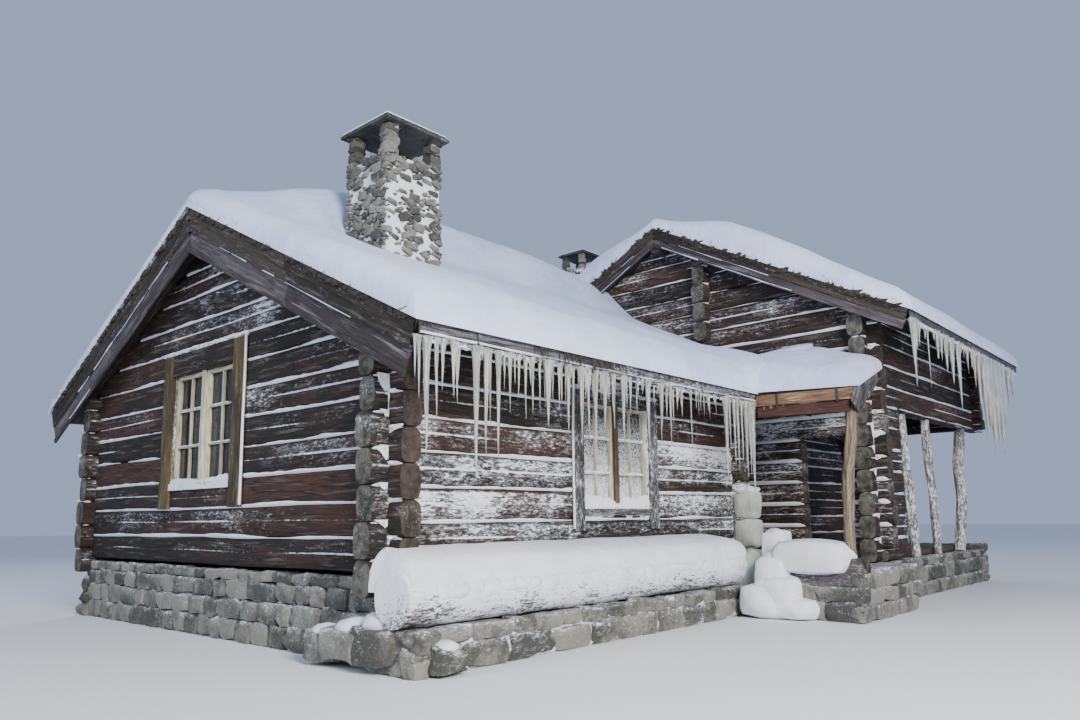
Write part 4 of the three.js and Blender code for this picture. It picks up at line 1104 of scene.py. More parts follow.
class CHALET_OT_windows(bpy.types.Operator):
    """Frame each window with casing boards, divided sashes and banked snow"""
    bl_idname = "chalet.windows"
    bl_label = "Windows"

    def execute(self, context):
        board = board_pattern(8)
        lumps = lump_patterns(5)
        for row in WINDOWS:
            self.window(board, lumps, *row)
        return {"FINISHED"}

    def window(self, board, lumps, name, size, run, face, out, side, head, foot, paint, bank):
        axis = EAST if run == "x" else NORTH

        def at(along, depth, height):
            return run_point(run, along, face + out * depth, height)

        def upright(pile, along, depth, low, high, *rest, **more):
            lay_board(pile, board, at(along, depth, low), at(along, depth, high), axis, *rest, **more)

        def level(pile, low, high, depth, height, *rest, **more):
            lay_board(pile, board, at(low, depth, height), at(high, depth, height), UP, *rest, **more)

        casing = Pile()
        seed = round(size.low * 10) + (3 if run == "x" else 0)
        frosted = 0.12 if name == "front_window" else -0.12
        for edge, sign in ((size.low, -1.0), (size.high, 1.0)):
            upright(casing, edge + sign * 0.5 * side, 0.022, size.bottom - foot, size.top + head,
                    side - 0.004, 0.036, drift=frosted, seed=seed + sign)
            upright(casing, edge + sign * 0.5 * LINING, LINING_DEPTH, size.bottom - LINING, size.top + LINING,
                    LINING - 0.002, 0.2, drift=frosted + 0.3, seed=seed + 3 * sign)
        level(casing, size.low, size.high, 0.026, size.top + 0.5 * head, head - 0.004, 0.03, 1, frosted,
              seed=seed + 4)
        upright(casing, size.low - side + 0.002, 0.03, size.bottom - foot + 0.02, size.top + head, 0.016,
                0.02, 2, bow=0.006, seed=seed)
        level(casing, size.low - side, size.high + side, 0.02, size.top + head - 0.012, 0.024, 0.048,
              drift=0.3, seed=seed + 7)
        level(casing, size.low, size.high, 0.02, size.bottom - 0.035, 0.068, 0.034,
              drift=0.1 if run == "x" else 0.5, seed=seed + 5)
        for height in (size.bottom - 0.5 * LINING, size.top + 0.5 * LINING):
            level(casing, size.low, size.high, LINING_DEPTH, height, LINING - 0.002, 0.2, drift=0.0,
                  seed=seed + 6)
        keep(casing.make(name + "_boards"), [paint, "log", "less_blue_snow"], [name + "_casing"])

        sash = Pile()
        middle = 0.5 * (size.low + size.high)
        post = 0.033
        for low, high in ((size.low + 0.004, middle - post), (middle + post, size.high - 0.004)):
            self.casement(sash, upright, level, low, high, size, seed)
        upright(sash, middle, -0.012, size.bottom + 0.002, size.top - 0.002, 0.07, 0.05,
                1 if name == "front_window" else 0, seed=seed + 9)
        keep(sash.make(name + "_casements"), ["cream", "mullion"], [name + "_sash"])
        self.bank_snow(name, size, at, lumps, bank, side, head)

    @staticmethod
    def casement(sash, upright, level, low, high, size, seed):
        depth, stile, bar, bow = -0.037, 0.04, 0.022, 0.001
        for middle in (low + 0.5 * stile, high - 0.5 * stile):
            upright(sash, middle, depth, size.bottom + 0.004, size.top - 0.004, stile, 0.044, bow=bow,
                    seed=seed + middle)
        for height in (size.bottom + 0.5 * stile + 0.004, size.top - 0.5 * stile - 0.004):
            level(sash, low, high, depth, height, stile, 0.042, bow=bow, seed=seed + height)
        upright(sash, 0.5 * (low + high), depth - 0.004, size.bottom, size.top, bar, 0.03, bow=bow,
                seed=seed + 2)
        for row in range(1, PANE_ROWS):
            height = size.bottom + (size.top - size.bottom) * row / PANE_ROWS
            level(sash, low, high, depth - 0.004, height, bar, 0.03, bow=bow, seed=seed + row + 0.5)

    @staticmethod
    def frost(name, size, at):
        """A thin crust on the panes, closed at the bottom and crackled above."""
        crust = Pile()

        def shape(point):
            height_share = point.y + 0.5
            along = size.low + 0.01 + (size.high - size.low - 0.02) * (point.x + 0.5)
            height = size.bottom + 0.01 + (size.top - size.bottom - 0.02) * height_share
            in_pane = PANE_ROWS * height_share % 1.0
            drift = 0.52 - 0.5 * height_share - 0.16 * in_pane
            drift += 0.12 * waver(point.x * 5.0, point.y * 5.0, 2.0)
            place = at(along, -0.0595 + 0.003 * point.z, height)
            return place, tuple(place), drift

        crust.add(Pattern(closed_grid(8, 48)), shape)
        keep(crust.make(name + "_frost"), ["frost"])

    @staticmethod
    def bank_snow(name, size, at, lumps, bank, side, head):
        """Snow on the sill, along the head board and on every bar."""
        draw = random.Random(name)
        snow = Pile()

        def pat(along, depth, height, long, deep, tall):
            snow.add(draw.choice(lumps), lambda point: at(
                along + point.x * long, depth + point.y * deep, height + point.z * tall))

        steps = 14
        for step in range(steps):
            share = (step + 0.5) / steps
            along = size.low + (size.high - size.low) * share
            tall = bank * (0.55 + 0.35 * abs(2.0 * share - 1.0) + draw.uniform(-0.12, 0.12))
            pat(along, -0.012, size.bottom + 0.1 * tall, 0.24, 0.07, 1.5 * tall)
        for step in range(26):
            along = size.low - side + 0.03 + (size.high - size.low + 2 * side - 0.06) * step / 25
            pat(along, 0.02, size.top + head + 0.004, 0.14, 0.055, draw.uniform(0.03, 0.05))
        middle = 0.5 * (size.low + size.high)
        heavy = 1.6 if name == "front_window" else 1.0
        for row in range(1, PANE_ROWS):
            height = size.bottom + (size.top - size.bottom) * row / PANE_ROWS + 0.012
            for step in range(22):
                along = size.low + 0.05 + (size.high - size.low - 0.1) * step / 21
                if abs(along - middle) > 0.06 and draw.random() < 0.85:
                    pat(along, -0.03, height, 0.09, 0.03, heavy * draw.uniform(0.008, 0.02))
        if name == "front_window":
            CHALET_OT_windows.frost(name, size, at)
        keep(snow.make(name + "_snow"), ["less_blue_snow"])


# Snow sheets
def rounding(distance, reach):
    """A quarter round: 0 at an edge and 1 from that reach inwards."""
    part = min(max(1.0 - distance / reach, 0.0), 1.0)
    return math.sqrt(1.0 - part * part)


def between(value, low, high, start, end):
    """A smooth change from start to end while the value goes from low to high."""
    part = min(max((value - low) / (high - low), 0.0), 1.0)
    return start + (end - start) * part * part * (3.0 - 2.0 * part)


SNOW_EDGE = 0.04
EDGE_BIAS = 0.72
FRONT_SNOW = (-0.32, 6.399, -0.7, 6.6)
REAR_SNOW = (6.085, 11.52, -2.06, 5.15)
PORCH_SNOW = (4.74, 6.25, -1.86, -0.70)
BASE_SNOW = (-0.17, 4.7, -0.5, -0.006)
PORCH_X = 4.78
PORCH_Y = (-1.8, -0.635)
PORCH_ROOF_OUT, PORCH_ROOF_IN = 1.65, 1.7
PORCH_CLIMB, PORCH_NARROWING = 0.27, 0.16    # towards the rear wing, per metre
PORCH_COVER = 0.25
BASE_LOG_Y, BASE_LOG_Z, BASE_LOG_RADIUS = -0.325, -0.275, 0.205


def soft_roll(x, y, roll):
    """Soft uneven rolls in the surface of deep snow."""
    broad = waver(x * 0.8, y * 0.8, 1.0)
    small = waver(x * 2.6, y * 2.6, 5.0)
    crumbs = waver(x * 9.0, y * 9.0, 7.0)
    return roll * (broad + 0.5 * small + 0.22 * crumbs)


def wind_hollow(x, y):
    """The hollow that the wind keeps open round the big chimney."""
    low, high = local_box("chimney_stack")
    away = math.hypot(max(low.x - x, x - high.x, 0.0), max(low.y - y, y - high.y, 0.0))
    return between(away, 0.0, 0.3, 0.09, 0.0)


def porch_saddle(x, y):
    """Snow that fills the valley between the front roof and the porch roof."""
    return 0.16 * between(x, 4.5, 5.3, 0.0, 1.0) * math.exp(-((y + 0.5) / 0.6) ** 2)


def front_snow_top(x, y, roll):
    crest = between(x, -0.3, 1.7, 0.235, 0.74) - between(x, 4.3, 6.4, 0.0, 0.09)
    reach = abs(y - FRONT.ridge_y)
    windward = y < FRONT.ridge_y
    if windward:
        thick = between(reach, 0.0, 0.9, crest, 0.265) + between(reach, 1.2, 3.3, 0.0, 0.035)
    else:
        thick = between(reach, 0.0, 3.3, crest, 0.3)
    clear = between(x, 4.5, 5.0, 1.0, 0.0)
    eave_lip = 1.0 + (rounding(y - FRONT_SNOW[2], 0.33) - 1.0) * max(clear, between(x, 6.1, 6.26, 0.0, 1.0))
    lip = min(rounding(x - FRONT_SNOW[0], 0.26), eave_lip, rounding(FRONT_SNOW[3] - y, 0.33))
    uneven = soft_roll(x, y, roll)
    level = roof_top(FRONT, y) + SNOW_EDGE + (thick - SNOW_EDGE + uneven) * lip - wind_hollow(x, y)
    beside_porch = 1.0 - clear if windward else 0.0
    cover = porch_top(x, min(y, PORCH_Y[1])) + PORCH_COVER + uneven
    return level + max(cover - level, 0.0) * beside_porch + porch_saddle(x, y)


def rear_snow_top(x, y, roll):
    reach = abs(y - REAR.ridge_y)
    crest = between(x, 6.1, 7.6, 0.19, 0.42)
    middle = between(reach, 0.0, 1.3, crest, 0.47)
    thick = between(reach, 1.4, 3.5, middle, 0.26)
    lip = min(rounding(x - REAR_SNOW[0], 0.2), rounding(REAR_SNOW[1] - x, 0.26),
              rounding(y - REAR_SNOW[2], 0.3), rounding(REAR_SNOW[3] - y, 0.3))
    return roof_top(REAR, y) + SNOW_EDGE + (thick - SNOW_EDGE + soft_roll(x, y, roll)) * lip


def porch_top(x, y):
    across = (y - PORCH_Y[0]) / (PORCH_Y[1] - PORCH_Y[0])
    return PORCH_ROOF_OUT + (PORCH_ROOF_IN - PORCH_ROOF_OUT) * across + PORCH_CLIMB * max(x - PORCH_X, 0.0)


def porch_bend(x, y):
    """Where a line along the porch roof lies, since its outer edge comes in towards the rear wing."""
    outward = max((PORCH_Y[1] - y) / (PORCH_Y[1] - PORCH_Y[0]), 0.0)
    return min(y + PORCH_NARROWING * max(x - PORCH_X, 0.0) * outward, PORCH_SNOW[3])


def porch_snow_top(x, y, roll):
    roof = porch_top(x, y)
    lip = min(rounding(x - PORCH_SNOW[0], 0.26), rounding(y - porch_bend(x, PORCH_SNOW[2]), 0.32))
    outer = roof + PORCH_COVER + soft_roll(x, y, roll)
    level = between(y, -1.4, -0.7, outer, front_snow_top(x, FRONT_SNOW[2], roll))
    level -= 0.04 * between(x, 5.4, 6.2, 0.0, 1.0)
    return roof + SNOW_EDGE + (level - roof - SNOW_EDGE) * lip


def base_log_top(y):
    across = min(abs(y - BASE_LOG_Y), BASE_LOG_RADIUS * 0.95)
    return BASE_LOG_Z + math.sqrt(BASE_LOG_RADIUS ** 2 - across ** 2)


def base_snow_top(x, y, roll):
    lip = min(rounding(x - BASE_SNOW[0], 0.2), rounding(BASE_SNOW[1] - x, 0.16),
              rounding(y - BASE_SNOW[2], 0.26))
    level = between(y, -0.5, 0.0, 0.04, 0.095) + soft_roll(x, y, roll)
    return base_log_top(y) + 0.03 + (level - base_log_top(y) - 0.03) * lip


def crowd(share):
    """Spread grid lines so that they stand closer near both edges."""
    return share - EDGE_BIAS * math.sin(math.tau * share) / math.tau


def snow_sheet(name, area, cells, bottom, top, replaced, bend=None, finish="snow"):
    """A closed sheet of snow: a grid drawn up to the top surface over a bottom one."""
    x0, x1, y0, y1 = area
    obj = closed_grid(*cells)
    obj.name = name
    for vertex in obj.data.vertices:
        x = x0 + (x1 - x0) * crowd(vertex.co.x + 0.5)
        y = y0 + (y1 - y0) * crowd(vertex.co.y + 0.5)
        if bend:
            y = bend(x, y)
        vertex.co = (x, y, top(x, y) if vertex.co.z > 0.5 else bottom(x, y))
    keep(obj, [finish], replaced, smooth=60.0)


class CHALET_OT_roof_snow(bpy.types.Operator):
    """Heap the deep snow on both roofs, the porch and the base log"""
    bl_idname = "chalet.roof_snow"
    bl_label = "Roof snow"

    def execute(self, context):
        roll = context.scene.chalet_sizes.snow_roll
        lift = 0.0015
        snow_sheet("front_roof_drift", FRONT_SNOW, (110, 120), lambda x, y: roof_top(FRONT, y) + lift,
                   lambda x, y: front_snow_top(x, y, roll), ["front_roof_snow"])
        snow_sheet("rear_roof_drift", REAR_SNOW, (90, 110), lambda x, y: roof_top(REAR, y) + lift,
                   lambda x, y: rear_snow_top(x, y, roll), ["rear_roof_snow"])
        snow_sheet("porch_roof_drift", PORCH_SNOW, (50, 44), lambda x, y: porch_top(x, y) + lift,
                   lambda x, y: porch_snow_top(x, y, roll), ["porch_roof_snow"], porch_bend)
        snow_sheet("base_log_drift", BASE_SNOW, (110, 22), lambda x, y: base_log_top(y) - 0.02,
                   lambda x, y: base_snow_top(x, y, 0.7 * roll), ["base_log_snow"], finish="less_blue_snow")
        return {"FINISHED"}


# Roofs
# Wing, name, face, depth of the boards and the way out along X
VERGES = ((FRONT, "front_verge", -VERGE, 0.47, -1.0), (REAR, "rear_west_verge", REAR.x0 - VERGE, 0.28, -1.0),
          (REAR, "rear_east_verge", REAR.x1 + VERGE, 0.28, 1.0))


def along_eave(x0, x1, y, z):
    """Both ends of a board or a bar that lies level along X."""
    return (x0, y, z), (x1, y, z)


class CHALET_OT_roof_boards(bpy.types.Operator):
    """Board the roofs, lay the turf and fit the verge and eave boards"""
    bl_idname = "chalet.roof_boards"
    bl_label = "Roof boards and turf"

    def execute(self, context):
        board = board_pattern(6)
        long_board = board_pattern(24)
        for wing, name in ((FRONT, "front"), (REAR, "rear")):
            low, high = local_box(name + "_roof_south")
            for side, part in ((-1.0, "south"), (1.0, "north")):
                self.slope(wing, name, part, side, low.x, high.x, board)
        for wing, name, face, depth, out in VERGES:
            self.verge(wing, name, face, depth, long_board, out)
        self.front_eave(long_board, board)
        self.rear_eave(long_board)
        return {"FINISHED"}

    @staticmethod
    def slope(wing, name, part, side, x0, x1, board):
        eave = wing.y0 - wing.eave if side < 0 else wing.y1 + wing.eave
        rise = math.hypot(1.0, wing.slope)
        pile = Pile()
        count = round((x1 - x0) / 0.17)
        width = (x1 - x0) / count
        for index in range(count):
            x = x0 + (index + 0.5) * width
            lift = 0.016 * rise + (0.006 if index % 2 else 0.0)
            low = Vector((x, eave - side * 0.012, roof_top(wing, eave) - ROOF + lift))
            high = Vector((x, wing.ridge_y, wing.ridge_z - ROOF + lift))
            lay_board(pile, board, high, low, EAST, width - 0.004, 0.026, drift=-0.5, bow=0.002, seed=index)
        turf_low = Vector((0.5 * (x0 + x1), eave - side * 0.03, roof_top(wing, eave) - 0.056))
        turf_high = Vector((0.5 * (x0 + x1), wing.ridge_y, wing.ridge_z - 0.056))
        lay_board(pile, board, turf_high, turf_low, EAST, x1 - x0 - 0.02, 0.088, 1, bow=0.004)
        keep(pile.make(f"{name}_{part}_boarding"), ["deck", "turf"], [f"{name}_roof_{part}"])

    @staticmethod
    def verge(wing, name, face, depth, board, out):
        """Overlapping boards down each slope, jointed half-way, with snow caught on the step."""
        pile = Pile()
        lump = lump_patterns(1)[0]
        strip = round_pattern(5, 10)
        draw = random.Random(name)
        upright = 1.0 / math.hypot(1.0, wing.slope)
        rows = ((0.0, 0.27, 0.012, 1), (0.25, 0.52, 0.02, 1), (0.46, 0.93, 0.036, 0), (0.88, 1.0, 0.024, 0))
        for side in (-1.0, 1.0):
            eave = wing.y0 - wing.eave if side < 0 else wing.y1 + wing.eave
            joint = wing.ridge_y + 0.52 * (eave - wing.ridge_y)
            for row, (top, bottom, inset, finish) in enumerate(rows):
                drop = 0.5 * (top + bottom) * depth + 0.003
                x = face - out * inset
                tip = eave - side * 0.55 * wing.slope * drop
                for begin, end in ((wing.ridge_y, joint), (joint + side * 0.004, tip)):
                    lay_board(pile, board, (x, begin, roof_top(wing, begin) - drop),
                              (x, end, roof_top(wing, end) - drop), UP, (bottom - top) * depth * upright,
                              0.024, finish, -0.06 if row < 2 else -0.2, bow=0.005,
                              seed=row * 3 + side + begin)
            for count in range(12):
                y = wing.ridge_y + (eave - wing.ridge_y) * draw.uniform(0.03, 0.78)
                step = draw.choice((0.26, 0.53, 0.53, 0.93)) * depth
                far = y + side * draw.uniform(0.15, 0.75)
                ends = [(face - out * 0.012, end, roof_top(wing, end) - step) for end in (y, far)]
                lay_round(pile, strip, ends, draw.uniform(0.003, 0.0065), 2, seed=count, rough=1.2)
            for count in range(64):
                y = wing.ridge_y + (eave - wing.ridge_y) * draw.uniform(0.01, 0.98)
                x = face + out * draw.uniform(0.0, 0.014)
                heap(pile, lump, (x, y, roof_top(wing, y) + draw.uniform(-0.035, 0.02)),
                     (0.05, draw.uniform(0.05, 0.16), draw.uniform(0.03, 0.07)), seed=count, rough=0.6,
                     finish=3)
        keep(pile.make(name), ["board", "deck", "snow", "turf"], [name + "_boards"])

    @staticmethod
    def front_eave(board, short):
        low, high = local_box("front_eave_board")
        pile = Pile()
        y = 0.5 * (low.y + high.y)
        reach = [low.x, 0.95, 2.05, 3.35, high.x]
        for index, (a, b) in enumerate(zip(reach, reach[1:])):
            lay_board(pile, board, *along_eave(a + 0.003, b - 0.003, y - 0.003, high.z - 0.047), UP, 0.092,
                      0.028, drift=lambda place: between(place.x, 0.8, 2.6, -0.05, 0.17), seed=index + 2)
        lay_board(pile, board, *along_eave(low.x, high.x, y + 0.006, low.z + 0.022), UP, 0.05, 0.03, 1,
                  drift=0.16, bow=0.008, seed=9)
        lay_round(pile, round_pattern(8, 70), along_eave(low.x, high.x, y - 0.012, low.z + 0.05), 0.009, 3,
                  seed=2, rough=1.3)
        lump = lump_patterns(1)[0]
        draw = random.Random(77)
        for count in range(110):
            x = draw.uniform(low.x + 0.03, high.x - 0.03)
            heap(pile, lump, (x, y + draw.uniform(-0.004, 0.014), low.z + draw.uniform(-0.004, 0.008)),
                 (draw.uniform(0.03, 0.09), 0.034, draw.uniform(0.012, 0.034)), seed=count, rough=0.6,
                 finish=3)
        for x in (0.3, 1.25, 2.2, 3.55, 4.25):
            lay_board(pile, short, (x, low.y + 0.003, high.z - 0.008),
                      (x + 0.014, low.y + 0.001, high.z - 0.105), EAST, 0.02, 0.006, 2, drift=-0.5)
        keep(pile.make("front_eave"), ["eave", "deck", "iron", "snow"],
             ["front_eave_board"])

    @staticmethod
    def rear_eave(board):
        low, high = local_box("rear_eave_board")
        pile = Pile()
        y = 0.5 * (low.y + high.y)
        for index, (a, b) in enumerate(((low.x, 8.7), (8.7, high.x))):
            lay_board(pile, board, *along_eave(a + 0.003, b - 0.003, y, high.z - 0.05), UP, 0.1, 0.028,
                      drift=0.05, seed=index + 4)
        lay_board(pile, board, *along_eave(low.x, high.x, y + 0.004, low.z + 0.018), UP, 0.04, 0.03, 1,
                  drift=0.5, bow=0.008, seed=8)
        lay_round(pile, round_pattern(8, 90), along_eave(low.x, high.x, y, low.z + 0.006), 0.02, 2, seed=5,
                  rough=1.1)
        keep(pile.make("rear_eave"), ["eave", "deck", "snow"], ["rear_eave_board"])


BLADES = 8    # in a clump of grass of usual thickness


class CHALET_OT_grass(bpy.types.Operator):
    """Let dry grass hang from the turf between the boards and the snow"""
    bl_idname = "chalet.grass"
    bl_label = "Grass along the roof edges"

    def execute(self, context):
        length = context.scene.chalet_sizes.tuft_length
        blade = self.blade()
        draw = random.Random(31)
        pile = Pile()
        for wing, _, face, _, sign in VERGES:
            edge = face + sign * 0.022
            for _ in range(190):
                y = draw.uniform(wing.y0 - wing.eave + 0.05, wing.y1 + wing.eave - 0.05)
                thick = 1.0 + 0.9 * waver(y * 2.3, face, 4.0)
                for _ in range(int(BLADES * thick)):
                    root = Vector((edge - sign * draw.uniform(0.0, 0.008), y + draw.gauss(0.0, 0.02), 0.0))
                    root.z = roof_top(wing, root.y) + draw.uniform(-0.01, 0.02)
                    rise = draw.choice((-0.7, 0.9, 1.3)) * draw.uniform(0.3, 1.2) * length * thick
                    tip = root + Vector((sign * 0.003, draw.gauss(0.0, 0.35) * length, rise))
                    self.grow(pile, blade, root, tip, draw.uniform(0.004, 0.009))
        eaves = ((FRONT, FRONT_SNOW[0] + 0.03, 4.74, 130), (REAR, REAR.x0 - 0.25, REAR.x1 + 0.25, 60))
        for wing, x0, x1, count in eaves:
            edge = wing.y0 - wing.eave
            for _ in range(count):
                x = draw.uniform(x0, x1)
                thick = 1.0 + waver(x * 1.1, 0.0, 9.0) + (0.8 if 0.9 < x < 2.1 else -0.3)
                for _ in range(int(BLADES * thick)):
                    root = Vector((min(max(x + draw.gauss(0.0, 0.03), x0), x1), edge - 0.045, 0.0))
                    root.z = roof_top(wing, edge) + draw.uniform(-0.02, 0.01)
                    drop = draw.choice((-0.6, 1.0, 1.2)) * draw.uniform(0.3, 1.1) * length * thick
                    tip = root + Vector((draw.gauss(0.0, 0.3) * length, draw.uniform(-0.01, 0.004), -drop))
                    tip.x = max(tip.x, FRONT_SNOW[0] + 0.004)
                    self.grow(pile, blade, root, tip, draw.uniform(0.004, 0.009))
        keep(pile.make("roof_edge_grass"), ["grass"])
        return {"FINISHED"}

    @staticmethod
    def blade():
        obj = start_bar("cone", vertices=3, radius1=1.0, radius2=0.15)
        bpy.ops.mesh.select_all(action="SELECT")
        bpy.ops.mesh.bisect(plane_co=(0.0, 0.0, 0.0), plane_no=(1.0, 0.0, 0.0))
        return Pattern(obj)

    @staticmethod
    def grow(pile, pattern, root, tip, width):
        run = tip - root
        side = run.cross(Vector((0.31, 0.9, 0.12))).normalized()
        other = run.normalized().cross(side)
        reach = 0.5 * width

        def shape(point):
            share = point.x + 0.5
            droop = Vector((0.0, 0.0, -0.25 * run.length * share * share))
            return root + run * share + droop + side * (point.y * reach) + other * (point.z * reach)

        pile.add(pattern, shape)


# Icicles
Icicle = namedtuple("Icicle", "along length width")
LONG_ICICLES = [Icicle(*row) for row in (
    (-0.29, 0.31, 0.03), (-0.25, 0.455, 0.032), (-0.18, 0.86, 0.07), (-0.1, 0.64, 0.04),
    (-0.045, 0.38, 0.045), (0.07, 0.42, 0.05), (0.1, 0.47, 0.035), (0.31, 1.03, 0.075), (0.41, 0.85, 0.06),
    (0.45, 0.61, 0.035), (0.54, 0.89, 0.055), (0.6, 0.18, 0.02), (0.66, 0.48, 0.045), (0.72, 0.25, 0.025),
    (0.76, 0.36, 0.035), (0.86, 0.51, 0.04), (0.92, 0.47, 0.04), (1.03, 0.46, 0.03), (1.11, 0.55, 0.09),
    (1.19, 0.35, 0.03), (1.29, 0.35, 0.03), (1.38, 0.6, 0.055), (1.46, 0.58, 0.035), (1.55, 0.7, 0.06),
    (1.61, 0.28, 0.035), (1.67, 0.65, 0.04), (1.76, 0.76, 0.055), (1.88, 0.64, 0.06), (1.98, 0.25, 0.025),
    (2.05, 0.5, 0.04), (2.16, 0.62, 0.06), (2.3, 0.2, 0.02), (2.39, 0.16, 0.02), (2.57, 0.69, 0.065),
    (2.69, 0.26, 0.025), (2.78, 0.6, 0.035), (2.82, 0.43, 0.03), (2.95, 0.62, 0.04), (3.08, 0.24, 0.035),
    (3.2, 0.29, 0.035), (3.35, 0.6, 0.03), (3.5, 0.27, 0.02), (3.62, 0.25, 0.02), (3.73, 0.28, 0.02),
    (3.86, 0.24, 0.02), (4.05, 0.95, 0.08), (4.17, 0.6, 0.04), (4.28, 0.74, 0.05), (4.36, 0.82, 0.06),
    (4.44, 0.7, 0.045), (4.52, 0.9, 0.07), (4.6, 0.82, 0.06), (4.69, 1.08, 0.1))]
REAR_ICICLES = [Icicle(*row) for row in (
    (6.2, 0.82, 0.1), (6.42, 0.3, 0.05), (6.75, 0.8, 0.035), (7.15, 0.36, 0.09), (7.5, 0.5, 0.11),
    (7.75, 0.62, 0.12), (8.05, 0.98, 0.1), (8.5, 0.3, 0.06), (8.85, 0.55, 0.08), (9.05, 0.9, 0.1),
    (9.3, 1.35, 0.13), (9.5, 1.2, 0.2), (9.7, 1.5, 0.24), (9.95, 1.3, 0.22), (10.2, 1.45, 0.2),
    (10.45, 1.1, 0.16), (10.8, 0.7, 0.1), (11.1, 0.5, 0.08))]
# Where the icicles hang below each eave: Y and Z
FRONT_ICE = (FRONT.y0 - FRONT.eave - 0.022, 1.58)
REAR_ICE = (REAR.y0 - REAR.eave - 0.02, 2.6)


class CHALET_OT_icicles(bpy.types.Operator):
    """Hang the icicles from the eaves"""
    bl_idname = "chalet.icicles"
    bl_label = "Icicles"

    def execute(self, context):
        bar = round_pattern(9, 18)
        draw = random.Random(12)
        pile = Pile()
        y, z = FRONT_ICE
        for number, item in enumerate(LONG_ICICLES):
            self.hang(pile, bar, Vector((item.along, y + draw.uniform(-0.012, 0.016), z)), item, number)
        for number in range(context.scene.chalet_sizes.small_icicles):
            along = draw.uniform(-0.3, 4.72)
            sparse = 0.5 if along > 3.1 else 1.0
            item = Icicle(along, sparse * draw.uniform(0.08, 0.42), draw.uniform(0.018, 0.045))
            self.hang(pile, bar, Vector((along, y + draw.uniform(-0.014, 0.02), z)), item, 60 + number)
        self.keep_ice(pile, "front_icicles")
        pile = Pile()
        y, z = REAR_ICE
        for number, item in enumerate(REAR_ICICLES):
            self.hang(pile, bar, Vector((item.along, y, z)), item, 200 + number)
        for number in range(40):
            item = Icicle(draw.uniform(6.2, 11.3), draw.uniform(0.1, 0.4), draw.uniform(0.03, 0.07))
            self.hang(pile, bar, Vector((item.along, y + draw.uniform(-0.012, 0.02), z)), item, 240 + number)
        self.keep_ice(pile, "rear_icicles")
        pile = Pile()
        for number in range(5):
            item = Icicle(draw.uniform(-1.0, -0.72), draw.uniform(0.05, 0.2), draw.uniform(0.015, 0.03))
            self.hang(pile, bar, Vector((4.79, item.along, 1.53)), item, 300 + number)
        self.keep_ice(pile, "porch_icicles")
        return {"FINISHED"}

    @staticmethod
    def keep_ice(pile, name):
        keep(pile.make(name), ["ice"], smooth=80.0)

    @staticmethod
    def hang(pile, pattern, root, item, number):
        def shape(point):
            share = point.x + 0.5
            taper = max(1.0 - share, 0.0) ** 0.85 * (1.0 + 0.7 * math.exp(-share * 16.0))
            ripple = 1.0 + 0.13 * waver(share * item.length * 16.0, number * 3.1, 0.0)
            size = 0.46 * item.width * (taper * ripple + 0.015)
            sway = 0.012 * share * waver(share * 2.0, number * 1.9, 1.0)
            return root + Vector((point.y * size + sway, point.z * size * 0.8, -share * item.length))

        pile.add(pattern, shape)


# Stonework
def lay_stone(pile, patterns, draw, centre, size, finish=0, drift=0.0, spin=0.12, lean=Matrix.Identity(3)):
    """One stone, turned a little, with a mottling of its own."""
    pattern = draw.choice(patterns)
    turn = lean @ Matrix.Rotation(draw.uniform(-spin, spin), 3, "X")
    turn = turn @ Matrix.Rotation(draw.uniform(-spin, spin), 3, "Y")
    turn = turn @ Matrix.Rotation(draw.choice((0.0, math.pi)) + draw.uniform(-spin, spin), 3, "Z")
    offset = Vector([draw.uniform(0.0, 9.0) for _ in range(3)])

    def shape(point):
        local = turn @ Vector((point.x * size[0], point.y * size[1], point.z * size[2]))
        rise = 0.22 if local.z > 0.3 * size[2] else 0.0
        return centre + local, tuple(local + offset), drift + rise

    pile.add(pattern, shape, finish)


def rubble_face(pile, patterns, draw, origin, run, out, length, height, course, stone):
    """Lay uneven courses of rubble over a wall face."""
    z = 0.0
    while z < height - 0.3 * course:
        rise = min(draw.uniform(0.75, 1.3) * course, height - z)
        along = draw.uniform(-0.4, 0.0) * stone
        while along < length:
            wide = draw.uniform(0.55, 1.5) * stone
            middle = along + 0.5 * wide
            along += wide
            if middle < 0.02 or middle > length - 0.02:
                continue
            here = origin + run * min(max(middle, 0.4 * wide), length - 0.4 * wide) + UP * (z + 0.5 * rise)
            size = Vector([abs(r) * 0.98 * wide + abs(o) * 0.45 * stone for r, o in zip(run, out)])
            size.z = 0.98 * rise
            lay_stone(pile, patterns, draw, here - out * (0.19 * stone), size, spin=0.07)
        z += rise


def plain_core(pile, area, top, finish=1):
    """The mortared core behind the face stones, from the ground up."""
    x0, x1, y0, y1 = area
    low, high = Vector((x0, y0, GROUND)), Vector((x1, y1, top))
    board = board_pattern(3)
    y = 0.5 * (low.y + high.y)
    z = 0.5 * (low.z + high.z)
    lay_board(pile, board, (low.x, y, z), (high.x, y, z), NORTH, high.y - low.y, high.z - low.z, finish,
              drift=0.1, bow=0.0)


def rim(x0, x1, y0, y1, thick):
    """The four strips along the edges of an area."""
    return ((x0, x1, y0, y0 + thick), (x0, x1, y1 - thick, y1), (x0, x0 + thick, y0, y1),
            (x1 - thick, x1, y0, y1))


def block_faces(x0, x1, y0, y1, z):
    """The four sides of a block: a lower corner, the run, the way out and the length."""
    return ((Vector((x0, y0, z)), EAST, SOUTH, x1 - x0), (Vector((x0, y1, z)), EAST, NORTH, x1 - x0),
            (Vector((x0, y0, z)), NORTH, WEST, y1 - y0), (Vector((x1, y0, z)), NORTH, EAST, y1 - y0))


